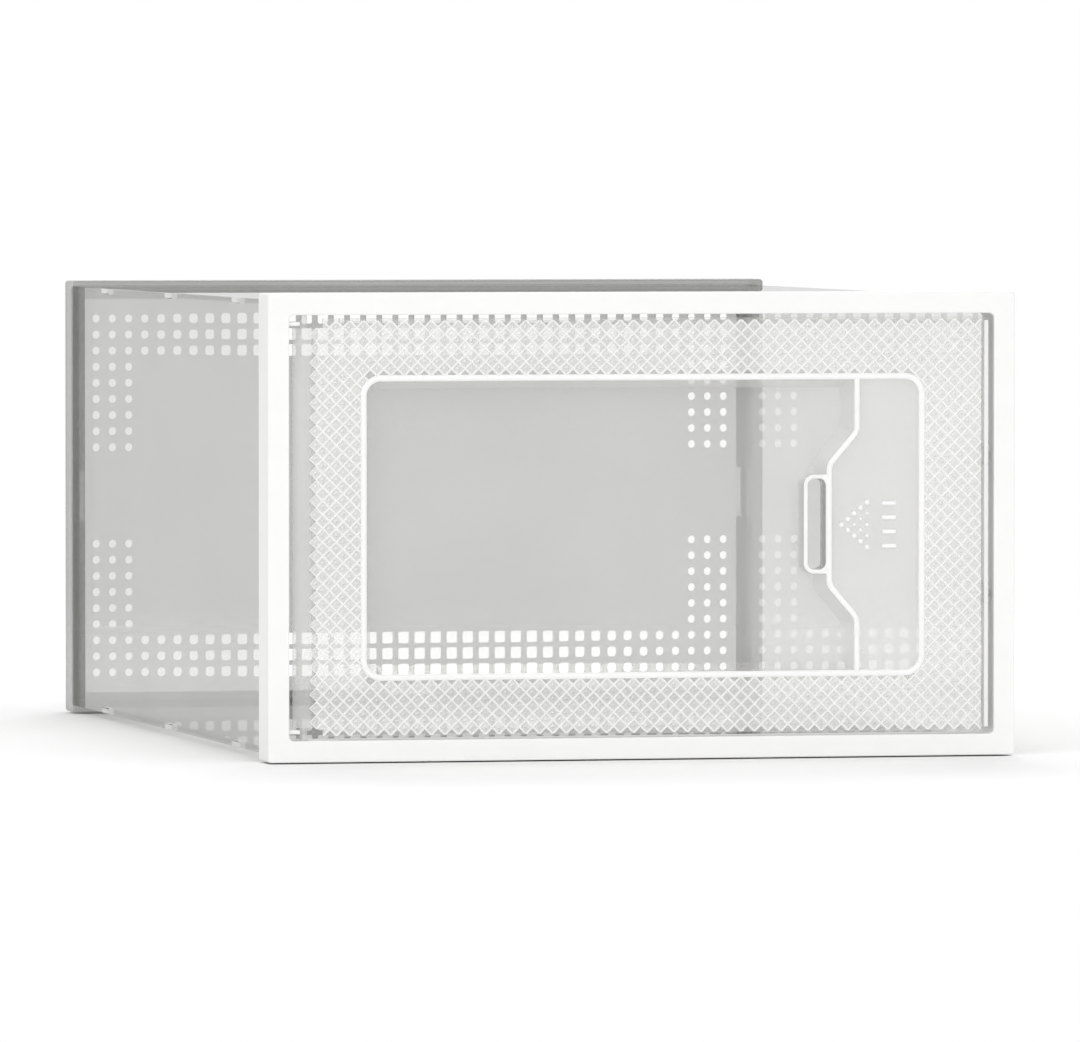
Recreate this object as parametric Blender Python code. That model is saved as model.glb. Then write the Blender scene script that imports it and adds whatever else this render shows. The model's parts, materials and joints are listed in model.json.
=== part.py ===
"""Stackable shoe box with a side-hinged front door.

A white front frame and a vented back tray are held apart by four clear
panels: left, right, top and bottom. A clear door swings on two moulded pins
inside the left of the front frame. Units are metres, +Z up, and the front
faces -Y. The origin is the centre of the bottom of the whole box. Sizes are
given in millimetres and scaled as each object is made.
"""

import math

import bmesh
import bpy
from mathutils import Matrix, Vector

MM = 0.001

# ---------------------------------------------------------------- shared dimensions (mm)
WIDTH = 230.0
DEPTH = 335.0
HEIGHT = 140.0
GAP = 0.3                 # assembly gap between neighbouring mouldings
HALF_WIDTH = WIDTH / 2
FRONT, BACK = -DEPTH / 2, DEPTH / 2
OUTER_R = 1.0             # corners of the frame and tray, seen from the front

OVERCUT = 1.0             # how far a cutter runs past the surface it opens
LONG_OVERCUT = 2.0

FRAME_FACE = 6.5          # width of the frame's front face
GROOVE_FROM = 6.0         # the frame's groove starts this far behind the front face
OPEN_X = HALF_WIDTH - FRAME_FACE
OPEN_LOW, OPEN_HIGH = FRAME_FACE, HEIGHT - FRAME_FACE

PANEL = 1.5               # thickness of the four clear panels
PANEL_INSET = 2.0         # panels lie this far inside the frame's outer faces
PANEL_INNER = PANEL_INSET + PANEL
PANEL_CLEAR_OF = PANEL_INNER + GAP    # nearest a neighbour comes to a panel's inner face
LIP = PANEL_INSET - GAP   # outer lip of the frame, and wall of the back tray's rim

BACK_WALL = 1.8
TRAY_INSIDE = BACK - BACK_WALL
FLANGE = 6.0              # reach of the panels' rear flanges, counted from the outer faces
NOTCH_LONG = 16.0         # notch in the middle of each rear flange
NOTCH_DEEP = 1.9

DOOR_GAP = 1.1            # gap above and below the door
DOOR_SIDE_GAP = 1.5       # gap beside the door's free edge
DOOR_SET = 1.2            # door face behind the frame's front face
DOOR_SKIRT = 4.0          # depth of the door's edge skirt, from its face
DOOR_FACE = FRONT + DOOR_SET
SKIRT_REAR = DOOR_FACE + DOOR_SKIRT
DOOR_LOW, DOOR_HIGH = OPEN_LOW + DOOR_GAP, OPEN_HIGH - DOOR_GAP
DOOR_RIGHT = OPEN_X - DOOR_SIDE_GAP

PIVOT_X = -103.5
PIVOT_Y = FRONT + 4.0
# ends of the hinge: name, outward direction in z, edge of the opening, edge of the door
HINGE_ENDS = (("low", -1, OPEN_LOW, DOOR_LOW), ("high", 1, OPEN_HIGH, DOOR_HIGH))

# centre line of the window's bead
WINDOW_LEFT, WINDOW_RIGHT, WINDOW_LOW, WINDOW_HIGH = -85.7, 86.2, 25.1, 114.6
MID_Z = (WINDOW_LOW + WINDOW_HIGH) / 2
NUB_AT = (-20.85, 20.85)  # snap nubs and their stops, from the window's mid height

# ---------------------------------------------------------------- scene
for old in list(bpy.data.objects):
    bpy.data.objects.remove(old, do_unlink=True)
for old in list(bpy.data.collections):
    bpy.data.collections.remove(old)

parts = bpy.data.collections.new("shoe_box")
tools = bpy.data.collections.new("cutters")
bpy.context.scene.collection.children.link(parts)
bpy.context.scene.collection.children.link(tools)
tools.hide_render = True


def material(name, colour, roughness, alpha=1.0):
    mat = bpy.data.materials.new(name)
    mat.use_nodes = True
    shader = mat.node_tree.nodes["Principled BSDF"]
    shader.inputs["Base Color"].default_value = (*colour, 1.0)
    shader.inputs["Roughness"].default_value = roughness
    shader.inputs["Metallic"].default_value = 0.0
    shader.inputs["IOR"].default_value = 1.5
    shader.inputs["Alpha"].default_value = alpha
    mat.diffuse_color = (*colour, alpha)
    return mat


WHITE = material("frame_white", colour=(0.93, 0.93, 0.92), roughness=0.38)
DOOR_CLEAR = material("door_clear", colour=(0.93, 0.94, 0.94), roughness=0.12, alpha=0.35)
PANEL_CLEAR = material("panel_clear", colour=(0.95, 0.96, 0.96), roughness=0.06, alpha=0.25)
BACK_CLEAR = material("back_clear", colour=(0.84, 0.86, 0.86), roughness=0.2, alpha=0.45)


# ---------------------------------------------------------------- outlines in x, z
def rectangle(x0, x1, z0, z1):
    return [(x0, z0), (x1, z0), (x1, z1), (x0, z1)]


def rounded(points, radii, steps):
    """A closed outline whose corners are arcs. Every corner gives steps + 1 points."""
    outline = []
    for i, (point, radius) in enumerate(zip(points, radii)):
        corner = Vector(point)
        to_last = (Vector(points[i - 1]) - corner).normalized()
        to_next = (Vector(points[(i + 1) % len(points)]) - corner).normalized()
        half_angle = to_last.angle(to_next) / 2
        reach = radius / math.tan(half_angle)
        centre = corner + (to_last + to_next).normalized() * (radius / math.sin(half_angle))
        first = corner + to_last * reach - centre
        last = corner + to_next * reach - centre
        turn = first.angle(last)
        for k in range(steps + 1):
            t = k / steps
            spoke = first * math.sin((1 - t) * turn) + last * math.sin(t * turn)
            outline.append(centre + spoke / math.sin(turn))
    return outline


def moved_in(points, distance):
    """Corners of a counter-clockwise outline with every side moved inwards."""
    moved = []
    count = len(points)
    for i in range(count):
        before, corner, after = (Vector(points[j % count]) for j in (i - 1, i, i + 1))
        side_in, side_out = (corner - before).normalized(), (after - corner).normalized()
        normal_in = Vector((-side_in.y, side_in.x))
        normal_out = Vector((-side_out.y, side_out.x))
        stretch = distance / (1 + normal_in.dot(normal_out))
        moved.append(corner + (normal_in + normal_out) * stretch)
    return moved


def between(front, back, t):
    """The outline a share t of the way from front to back."""
    return [near.lerp(far, t) for near, far in zip(front, back)]


# ---------------------------------------------------------------- meshes
def mesh_from(bm, name):
    mesh = bpy.data.meshes.new(name)
    bm.to_mesh(mesh)
    bm.free()
    return mesh


def boxes_mesh(name, boxes):
    """Separate boxes in one mesh, each given by two opposite corners."""
    bm = bmesh.new()
    for start, end in boxes:
        for v in bmesh.ops.create_cube(bm, size=1.0)["verts"]:
            v.co = Vector(
                (start[i] + end[i]) / 2 + v.co[i] * abs(end[i] - start[i]) for i in range(3)
            )
    return mesh_from(bm, name)


def box_mesh(name, start, end):
    return boxes_mesh(name, [(Vector(start), Vector(end))])


def cylinder_mesh(name, radius, start, end, sides):
    start, end = Vector(start), Vector(end)
    axis = end - start
    turn = axis.to_track_quat("Z", "Y").to_matrix().to_4x4()
    bm = bmesh.new()
    bmesh.ops.create_cone(
        bm, cap_ends=True, segments=sides, radius1=radius, radius2=radius,
        depth=axis.length, matrix=Matrix.Translation((start + end) / 2) @ turn,
    )
    return mesh_from(bm, name)


def slab_mesh(name, loops, y0, y1):
    """A flat outline, with any inner loops as holes, between two depths."""
    curve = bpy.data.curves.new(name, "CURVE")
    curve.dimensions = "2D"
    curve.fill_mode = "BOTH"
    curve.extrude = (y1 - y0) / 2
    for loop in loops:
        spline = curve.splines.new("POLY")
        spline.points.add(len(loop) - 1)
        for point, (x, z) in zip(spline.points, loop):
            point.co = (x, z, 0.0, 1.0)
        spline.use_cyclic_u = True
    holder = bpy.data.objects.new(name, curve)
    tools.objects.link(holder)
    bpy.context.view_layer.update()
    graph = bpy.context.evaluated_depsgraph_get()
    mesh = bpy.data.meshes.new_from_object(holder.evaluated_get(graph))
    bpy.data.objects.remove(holder, do_unlink=True)
    mesh.transform(
        Matrix.Translation((0.0, (y0 + y1) / 2, 0.0)) @ Matrix.Rotation(math.pi / 2, 4, "X")
    )
    # weld the filled faces to the extruded sides
    bm = bmesh.new()
    bm.from_mesh(mesh)
    bmesh.ops.remove_doubles(bm, verts=bm.verts, dist=1e-4)
    bmesh.ops.recalc_face_normals(bm, faces=bm.faces)
    bm.to_mesh(mesh)
    bm.free()
    return mesh


def loft_mesh(name, front, back, y0, y1):
    """A solid between two outlines with the same number of points."""
    bm = bmesh.new()
    near = [bm.verts.new((x, y0, z)) for x, z in front]
    far = [bm.verts.new((x, y1, z)) for x, z in back]
    caps = [bm.faces.new(near), bm.faces.new(list(reversed(far)))]
    for i in range(len(near)):
        j = (i + 1) % len(near)
        bm.faces.new((near[j], near[i], far[i], far[j]))
    bmesh.ops.recalc_face_normals(bm, faces=bm.faces)
    bmesh.ops.triangulate(bm, faces=caps)
    return mesh_from(bm, name)


# ---------------------------------------------------------------- objects
def new_object(name, mesh, collection, origin=(0.0, 0.0, 0.0)):
    """An object for a mesh given in millimetres in the box's own frame."""
    mesh.transform(Matrix.Scale(MM, 4) @ Matrix.Translation(-Vector(origin)))
    obj = bpy.data.objects.new(name, mesh)
    obj.location = Vector(origin) * MM
    collection.objects.link(obj)
    return obj


def new_piece(name, mesh, mat, origin=(0.0, 0.0, 0.0)):
    piece = new_object(name, mesh, parts, origin)
    piece.data.materials.append(mat)
    return piece


def boolean(piece, mesh, operation):
    """Joins or cuts a piece with a helper made from mesh."""
    helper = new_object(mesh.name, mesh, tools)
    helper.hide_render = True
    helper.display_type = "WIRE"
    step = piece.modifiers.new(mesh.name, "BOOLEAN")
    step.operation = operation
    step.solver = "EXACT"
    step.object = helper


def join(piece, mesh):
    boolean(piece, mesh, "UNION")


def cut(piece, mesh):
    boolean(piece, mesh, "DIFFERENCE")


def height_at(inset, top):
    """The height that lies inset from the top or the bottom of the box."""
    return HEIGHT - inset if top else inset


def outer_outline():
    return rounded(rectangle(-HALF_WIDTH, HALF_WIDTH, 0, HEIGHT), [OUTER_R] * 4, 3)


# ---------------------------------------------------------------- front frame
FRAME_DEPTH = 14.5        # how far the frame reaches back
OPENING_R = 1.5
SOCKET_R = 1.5
SOCKET_DEEP = 3.1
LUG_LONG = 3.5            # shelf under and over the barrel, from the side of the opening
LUG_THICK = 1.2
LUG_ROOT = 1.5            # part of the shelf sunk in the frame
LUG_PAST_DOOR = 0.9       # shelf's outer face, past the line of the door's edge
LUG_FROM, LUG_TO = 1.4, 8.0           # behind the front face
STOP_REACH = 2.3          # how far a stop rib stands into the opening
STOP_ROOT = 1.2           # part of the rib sunk in the frame
STOP_GAP = 0.4            # between the door's skirt and the rib
STOP_TO = 11.0            # rear of the rib, behind the front face
STOP_HALF = 3.0           # half the rib's height


def make_frame():
    opening = rounded(
        rectangle(-OPEN_X, OPEN_X, OPEN_LOW, OPEN_HIGH), [OPENING_R] * 4, 3)
    frame_rear = FRONT + FRAME_DEPTH
    frame = new_piece(
        "front_frame", slab_mesh("front_frame", [outer_outline(), opening], FRONT, frame_rear),
        WHITE)
    # groove in the back that holds the front edges of the four panels
    groove = [
        rectangle(-HALF_WIDTH + inset, HALF_WIDTH - inset, inset, HEIGHT - inset)
        for inset in (LIP, PANEL_CLEAR_OF)
    ]
    cut(frame, slab_mesh(
        "frame_groove", groove, FRONT + GROOVE_FROM, frame_rear + LONG_OVERCUT))
    for side, outward, edge, _ in HINGE_ENDS:
        # socket for the door's pin
        cut(frame, cylinder_mesh(
            "socket_" + side, SOCKET_R,
            (PIVOT_X, PIVOT_Y, edge - outward * LONG_OVERCUT),
            (PIVOT_X, PIVOT_Y, edge + outward * SOCKET_DEEP), 16))
        # shelf near the end of the barrel
        lug_inset = DOOR_GAP + LUG_PAST_DOOR
        join(frame, box_mesh(
            "lug_" + side,
            (-OPEN_X - LUG_ROOT, FRONT + LUG_FROM, edge - outward * lug_inset),
            (-OPEN_X + LUG_LONG, FRONT + LUG_TO, edge - outward * (lug_inset + LUG_THICK))))
    # two ribs that stop the closed door, level with its snap nubs
    for k, offset in enumerate(NUB_AT):
        join(frame, box_mesh(
            f"stop_{k}",
            (OPEN_X - STOP_REACH, SKIRT_REAR + STOP_GAP, MID_Z + offset - STOP_HALF),
            (OPEN_X + STOP_ROOT, FRONT + STOP_TO, MID_Z + offset + STOP_HALF)))


# ---------------------------------------------------------------- clear panels
PANEL_FRONT = FRONT + GROOVE_FROM + GAP
PANEL_BACK = TRAY_INSIDE - GAP
FLANGE_FRONT = PANEL_BACK - PANEL
FLANGE_REAR = PANEL_BACK - 0.001      # a hair short, so no two faces coincide
FLANGE_ROOT = 0.7         # part of a flange sunk in its plate
TAB_LONG = 12.0           # interlocking tabs along the panels' long edges
TAB_AT = (-107.5, 0.0, 107.5)
TAB_THINNER = 0.02        # a tab's faces inside those of its plate


def make_side_panel(name, sign):
    """A side panel: flat plate, turned-in rear flange with a notch, and edge notches."""
    outer, inner = HALF_WIDTH - PANEL_INSET, HALF_WIDTH - PANEL_INNER
    tip = HALF_WIDTH - FLANGE
    panel = new_piece(name, box_mesh(
        name, (sign * inner, PANEL_FRONT, PANEL_INSET),
        (sign * outer, PANEL_BACK, HEIGHT - PANEL_INSET)), PANEL_CLEAR)
    join(panel, box_mesh(
        name + "_flange", (sign * tip, FLANGE_FRONT, PANEL_CLEAR_OF),
        (sign * (inner + FLANGE_ROOT), FLANGE_REAR, HEIGHT - PANEL_CLEAR_OF)))
    cut(panel, box_mesh(
        name + "_notch",
        (sign * (tip - OVERCUT), FLANGE_FRONT - OVERCUT, HEIGHT / 2 - NOTCH_LONG / 2),
        (sign * (tip + NOTCH_DEEP), PANEL_BACK + OVERCUT, HEIGHT / 2 + NOTCH_LONG / 2)))
    room = TAB_LONG / 2 + GAP
    cut(panel, boxes_mesh(name + "_tab_notches", [
        ((sign * (inner - OVERCUT), y - room, height_at(PANEL_INSET - OVERCUT, top)),
         (sign * (outer + OVERCUT), y + room, height_at(PANEL_CLEAR_OF, top)))
        for y in TAB_AT
        for top in (False, True)
    ]))


def make_flat_panel(name, top):
    """The top or bottom panel: flat plate, rear flange with a notch, and side tabs."""
    reach = HALF_WIDTH - PANEL_CLEAR_OF
    panel = new_piece(name, box_mesh(
        name, (-reach, PANEL_FRONT, height_at(PANEL_INSET, top)),
        (reach, PANEL_BACK, height_at(PANEL_INNER, top))), PANEL_CLEAR)
    tab_reach = HALF_WIDTH - PANEL_INSET
    for k, y in enumerate(TAB_AT):
        join(panel, box_mesh(
            f"{name}_tabs_{k}",
            (-tab_reach, y - TAB_LONG / 2, height_at(PANEL_INSET + TAB_THINNER, top)),
            (tab_reach, y + TAB_LONG / 2, height_at(PANEL_INNER - TAB_THINNER, top))))
    span = HALF_WIDTH - FLANGE - GAP
    join(panel, box_mesh(
        name + "_flange", (-span, FLANGE_FRONT, height_at(PANEL_INNER - FLANGE_ROOT, top)),
        (span, FLANGE_REAR, height_at(FLANGE, top))))
    cut(panel, box_mesh(
        name + "_notch",
        (-NOTCH_LONG / 2, FLANGE_FRONT - OVERCUT, height_at(FLANGE - NOTCH_DEEP, top)),
        (NOTCH_LONG / 2, PANEL_BACK + OVERCUT, height_at(FLANGE + OVERCUT, top))))


# ---------------------------------------------------------------- back tray
TRAY_DEPTH = 14.5         # rim of the back tray
VENT_COLUMNS = 40
VENT_ROWS = 23
VENT_SPAN_X = 209.8       # first to last column, centre to centre
VENT_SPAN_Z = 115.2       # first to last row, centre to centre
VENT_BAND = 3             # rows or columns in each vented band
VENT_SIDE_ROWS = 9        # how far the side bands reach from each corner
VENT_SMALL = 2.4          # width of a vent at the corners and sides
VENT_LARGE = 3.5          # width of a vent in the middle of the long rows
VENT_GROWTH = 10          # columns over which the vents widen
LOCATOR_END_GAP = 0.6     # between a locator's end and its notch
LOCATOR_OUTER_GAP = 0.4   # between a locator and the floor of its notch
LOCATOR_INNER_GAP = 0.3   # locator's inner face, short of the flange's edge
LOCATOR_PROUD = 0.6       # locator's front face, in front of the flange


def vent_boxes():
    """Square vents: three rows along the top and bottom, three columns down each side."""
    boxes = []
    step_x = VENT_SPAN_X / (VENT_COLUMNS - 1)
    step_z = VENT_SPAN_Z / (VENT_ROWS - 1)
    for row in range(VENT_ROWS):
        from_edge = min(row, VENT_ROWS - 1 - row)
        for column in range(VENT_COLUMNS):
            from_side = min(column, VENT_COLUMNS - 1 - column)
            in_rows = from_edge < VENT_BAND
            in_columns = from_side < VENT_BAND and from_edge < VENT_SIDE_ROWS
            if not (in_rows or in_columns):
                continue
            grow = min(1.0, max(0.0, (from_side - (VENT_BAND - 1)) / VENT_GROWTH))
            half = (VENT_SMALL + (VENT_LARGE - VENT_SMALL) * grow) / 2
            x = -VENT_SPAN_X / 2 + column * step_x
            z = HEIGHT / 2 - VENT_SPAN_Z / 2 + row * step_z
            boxes.append(((x - half, TRAY_INSIDE - OVERCUT, z - half),
                          (x + half, BACK + OVERCUT, z + half)))
    return boxes


def make_back():
    tray_front = BACK - TRAY_DEPTH
    tray = new_piece(
        "back_panel", slab_mesh("back_panel", [outer_outline()], tray_front, BACK), BACK_CLEAR)
    cut(tray, box_mesh(
        "tray_hollow", (-HALF_WIDTH + LIP, tray_front - LONG_OVERCUT, LIP),
        (HALF_WIDTH - LIP, TRAY_INSIDE, HEIGHT - LIP)))
    cut(tray, boxes_mesh("vents", vent_boxes()))
    # locating tabs that enter the notches of the panels' rear flanges
    y0 = FLANGE_FRONT - LOCATOR_PROUD
    y1 = TRAY_INSIDE + BACK_WALL / 2
    half = NOTCH_LONG / 2 - LOCATOR_END_GAP
    outer = FLANGE - NOTCH_DEEP + LOCATOR_OUTER_GAP
    inner = FLANGE - LOCATOR_INNER_GAP
    for sign in (-1, 1):
        join(tray, box_mesh(
            f"locator_x{sign}", (sign * (HALF_WIDTH - outer), y0, HEIGHT / 2 - half),
            (sign * (HALF_WIDTH - inner), y1, HEIGHT / 2 + half)))
    for top in (0, 1):
        join(tray, box_mesh(
            f"locator_z{top}", (-half, y0, height_at(outer, top)),
            (half, y1, height_at(inner, top))))


# ---------------------------------------------------------------- door
DOOR_WALL = 1.8
MID_WALL = DOOR_FACE + DOOR_WALL / 2
SKIRT_WALL = 1.3
HINGE_R = 0.3             # plate corners at the hinge, and at the free edge
FREE_R = 2.0
HOLLOW_FROM = 11.0        # the skirts along the top and bottom start this far past the pivot
HOLLOW_SIDE = 10.0        # the hollow's cutter reaches this far left of the pivot

BARREL_R = 3.3
BARREL_SHORT = 0.5        # barrel's ends inside the door's edges, before the corners are cut
PIN_R = 1.2
PIN_REACH = 2.7           # how far a pin enters the frame
PIN_ROOT = 2.0            # part of a pin sunk in the barrel
CORNER_Z = 2.8            # door corner cleared round each pin
CORNER_X = 5.5            # cleared this far past the pivot
CORNER_CUT_LEFT, CORNER_CUT_OUT = 8.0, 3.0         # cutter left of the pivot, past the edge
CORNER_CUT_FRONT, CORNER_CUT_BACK = 2.0, 20.0      # in front of and behind the front face

WINDOW_R = 5.3
BEAD = 1.9                # width of the window's bead
BEAD_PROUD = 0.6
FLAP_BEAD = BEAD * 0.8
FLAP_BEAD_LOWER = 0.1     # flap's bead, below the top of the window's
FLAP_BEAD_ROOT = 0.8
FLAP_X = 66.1             # flap's left edge at top and bottom
FLAP_BULGE_X = 57.5       # and in the middle
FLAP_BEND_OUT = 28.1      # where the edge starts to bulge, from mid height
FLAP_BEND_IN = 18.1       # where the bulge is full
FLAP_R = 5.0
FLAP_END_R = 1.6          # recess corners where the flap meets the window's edge
SHARP_R = 0.05            # stands for a square corner
RECESS = 7.0              # depth of the recessed window
RECESS_WALL = 1.9
DRAFT = 2.4               # how far its walls lean in

SLOT_LEFT, SLOT_RIGHT, SLOT_LOW, SLOT_HIGH = 50.8, 56.7, 56.4, 83.8   # finger slot
SLOT_R = 2.0
SLOT_COLLAR = 1.2
COLLAR_RIGHT = 0.6        # collar's width and corner radius on the slot's right
COLLAR_PROUD = 0.15
SLOT_CUT_PAST = 6.0       # cutter behind the recess's front surface

NUB_R = 1.7
NUB_PROUD = 0.9
NUB_FROM_FACE, NUB_FROM_REAR = 0.5, 0.4            # nub's ends inside the skirt


def flap_edge():
    """Corner points of the handle flap's wavy left edge, from bottom to top."""
    return [
        (FLAP_X, MID_Z - FLAP_BEND_OUT),
        (FLAP_BULGE_X, MID_Z - FLAP_BEND_IN),
        (FLAP_BULGE_X, MID_Z + FLAP_BEND_IN),
        (FLAP_X, MID_Z + FLAP_BEND_OUT),
    ]


def recess_outline(inset):
    """The recessed part of the window, moved inwards from the bead's centre line."""
    corners = [(WINDOW_LEFT, WINDOW_LOW), (FLAP_X, WINDOW_LOW), *flap_edge(),
               (FLAP_X, WINDOW_HIGH), (WINDOW_LEFT, WINDOW_HIGH)]
    lower = [WINDOW_R - inset, FLAP_END_R - inset / 2, FLAP_R - inset, FLAP_R + inset]
    radii = [max(radius, 0.2) for radius in lower + lower[::-1]]
    return rounded(moved_in(corners, inset), radii, 4)


def door_plate():
    outline = rounded(
        rectangle(PIVOT_X, DOOR_RIGHT, DOOR_LOW, DOOR_HIGH),
        [HINGE_R, FREE_R, FREE_R, HINGE_R], 4)
    return slab_mesh("door", [outline], DOOR_FACE, SKIRT_REAR)


def hollow_door(door):
    """Hollows behind the plate, which leaves a skirt on all but the hinge edge."""
    start, left = PIVOT_X + HOLLOW_FROM, PIVOT_X - HOLLOW_SIDE
    right, low, high = DOOR_RIGHT - SKIRT_WALL, DOOR_LOW + SKIRT_WALL, DOOR_HIGH - SKIRT_WALL
    below, above = DOOR_LOW - LONG_OVERCUT, DOOR_HIGH + LONG_OVERCUT
    outline = rounded(
        [(left, below), (start, below), (start, low), (right, low),
         (right, high), (start, high), (start, above), (left, above)],
        [0.2, 0.2, 0.2, 1.0, 1.0, 0.2, 0.2, 0.2], 3)
    cut(door, slab_mesh(
        "door_hollow", [outline], DOOR_FACE + DOOR_WALL, SKIRT_REAR + LONG_OVERCUT))


def add_recess(door):
    """The recessed window with leaning walls."""
    rim_inset, foot_inset = BEAD / 2, BEAD / 2 + DRAFT
    rim, foot = recess_outline(rim_inset), recess_outline(foot_inset)
    rim_out = recess_outline(rim_inset - RECESS_WALL)
    foot_out = recess_outline(foot_inset - RECESS_WALL)
    deep = RECESS + DOOR_WALL
    join(door, loft_mesh(
        "recess_shell", between(rim_out, foot_out, DOOR_WALL / 2 / deep), foot_out,
        MID_WALL, DOOR_FACE + deep))
    cut(door, loft_mesh(
        "recess_hollow", between(rim, foot, -OVERCUT / RECESS), foot,
        DOOR_FACE - OVERCUT, DOOR_FACE + RECESS))


def add_hinge(door):
    """The barrel along the hinge edge, and a pin in a cleared corner at each end."""
    join(door, cylinder_mesh(
        "barrel", BARREL_R, (PIVOT_X, PIVOT_Y, DOOR_LOW + BARREL_SHORT),
        (PIVOT_X, PIVOT_Y, DOOR_HIGH - BARREL_SHORT), 24))
    for side, outward, opening, edge in HINGE_ENDS:
        cut(door, box_mesh(
            "corner_" + side,
            (PIVOT_X - CORNER_CUT_LEFT, FRONT - CORNER_CUT_FRONT, edge - outward * CORNER_Z),
            (PIVOT_X + CORNER_X, FRONT + CORNER_CUT_BACK, edge + outward * CORNER_CUT_OUT)))
        join(door, cylinder_mesh(
            "pin_" + side, PIN_R,
            (PIVOT_X, PIVOT_Y, edge - outward * (CORNER_Z + PIN_ROOT)),
            (PIVOT_X, PIVOT_Y, opening + outward * PIN_REACH), 16))


def add_slot_collar(door):
    outline = rounded(
        rectangle(SLOT_LEFT - SLOT_COLLAR, SLOT_RIGHT + COLLAR_RIGHT,
                  SLOT_LOW - SLOT_COLLAR, SLOT_HIGH + SLOT_COLLAR),
        [SLOT_R + SLOT_COLLAR, COLLAR_RIGHT, COLLAR_RIGHT, SLOT_R + SLOT_COLLAR], 4)
    join(door, slab_mesh(
        "slot_collar", [outline], DOOR_FACE - COLLAR_PROUD, MID_WALL + RECESS))


def add_beads(door):
    """Raised beads round the window and along the flap's edge."""
    corners = rectangle(WINDOW_LEFT, WINDOW_RIGHT, WINDOW_LOW, WINDOW_HIGH)
    loops = [
        rounded(moved_in(corners, inset), [WINDOW_R - inset] * 4, 5)
        for inset in (-BEAD / 2, BEAD / 2)
    ]
    join(door, slab_mesh("window_bead", loops, DOOR_FACE - BEAD_PROUD, MID_WALL))
    line = [(FLAP_X, WINDOW_LOW), *flap_edge(), (FLAP_X, WINDOW_HIGH)]
    half = FLAP_BEAD / 2
    strip = [(x + half, z) for x, z in line] + [(x - half, z) for x, z in reversed(line)]
    radii = [SHARP_R, FLAP_R, FLAP_R, FLAP_R, FLAP_R, SHARP_R] * 2
    join(door, slab_mesh(
        "flap_bead", [rounded(strip, radii, 4)],
        DOOR_FACE - BEAD_PROUD + FLAP_BEAD_LOWER, DOOR_FACE + FLAP_BEAD_ROOT))


def cut_finger_slot(door):
    outline = rounded(rectangle(SLOT_LEFT, SLOT_RIGHT, SLOT_LOW, SLOT_HIGH), [SLOT_R] * 4, 4)
    cut(door, slab_mesh(
        "finger_slot", [outline], DOOR_FACE - LONG_OVERCUT, DOOR_FACE + RECESS + SLOT_CUT_PAST))


def add_nubs(door):
    """Snap nubs on the free edge."""
    x = DOOR_RIGHT + NUB_PROUD - NUB_R
    for k, offset in enumerate(NUB_AT):
        join(door, cylinder_mesh(
            f"nub_{k}", NUB_R, (x, DOOR_FACE + NUB_FROM_FACE, MID_Z + offset),
            (x, SKIRT_REAR - NUB_FROM_REAR, MID_Z + offset), 16))


def make_door():
    door = new_piece("door", door_plate(), DOOR_CLEAR, origin=(PIVOT_X, PIVOT_Y, 0.0))
    hollow_door(door)
    add_recess(door)
    add_hinge(door)
    add_slot_collar(door)
    add_beads(door)
    cut_finger_slot(door)
    add_nubs(door)
    door.data.shade_smooth()
    door.data.set_sharp_from_angle(angle=math.radians(35))


make_frame()
make_side_panel("left_panel", -1)
make_side_panel("right_panel", 1)
make_flat_panel("top_panel", True)
make_flat_panel("bottom_panel", False)
make_back()
make_door()
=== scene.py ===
"""Stackable shoe box: a white front frame, clear panels, a vented clear back and a clear door.

Pieces are built in millimetres with the origin at the centre of the bottom, the front
towards -Y, the door's hinge on the left (-X) and +Z up. They are scaled to metres at the
end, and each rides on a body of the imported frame.
"""

import json
import math

import bmesh
import bpy
from mathutils import Matrix, Vector
from mathutils.geometry import delaunay_2d_cdt


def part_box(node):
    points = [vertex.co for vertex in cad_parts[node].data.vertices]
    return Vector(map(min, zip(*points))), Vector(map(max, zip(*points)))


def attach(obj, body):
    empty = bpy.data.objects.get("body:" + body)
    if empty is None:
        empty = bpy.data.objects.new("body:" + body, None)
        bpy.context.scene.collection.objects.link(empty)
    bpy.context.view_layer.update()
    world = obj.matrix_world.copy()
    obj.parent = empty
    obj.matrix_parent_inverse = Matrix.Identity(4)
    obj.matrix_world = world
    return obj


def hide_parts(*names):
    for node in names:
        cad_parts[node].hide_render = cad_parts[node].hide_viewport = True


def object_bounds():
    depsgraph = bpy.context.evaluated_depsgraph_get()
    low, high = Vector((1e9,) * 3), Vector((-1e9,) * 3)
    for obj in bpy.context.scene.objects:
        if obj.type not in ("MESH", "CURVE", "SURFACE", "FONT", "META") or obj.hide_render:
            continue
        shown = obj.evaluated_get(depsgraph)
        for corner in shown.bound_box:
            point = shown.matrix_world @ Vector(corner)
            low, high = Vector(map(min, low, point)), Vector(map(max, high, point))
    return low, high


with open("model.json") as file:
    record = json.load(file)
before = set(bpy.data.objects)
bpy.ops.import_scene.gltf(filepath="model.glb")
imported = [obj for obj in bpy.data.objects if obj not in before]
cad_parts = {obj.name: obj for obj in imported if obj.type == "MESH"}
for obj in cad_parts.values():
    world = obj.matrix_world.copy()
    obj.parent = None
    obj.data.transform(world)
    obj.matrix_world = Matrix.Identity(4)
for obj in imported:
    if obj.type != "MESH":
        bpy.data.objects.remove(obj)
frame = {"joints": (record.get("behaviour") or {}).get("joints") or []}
CAD_BOX = [list(corner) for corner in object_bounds()]
MM = 0.001


def node_box(name):
    """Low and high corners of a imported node, in mm."""
    low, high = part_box(name)
    return low / MM, high / MM


# ---------------------------------------------------------------- shared sizes (mm)
FRAME_LOW, FRAME_HIGH = node_box("front_frame")
TRAY_LOW, TRAY_HIGH = node_box("back_panel")
HINGE = frame["joints"][0]
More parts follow.
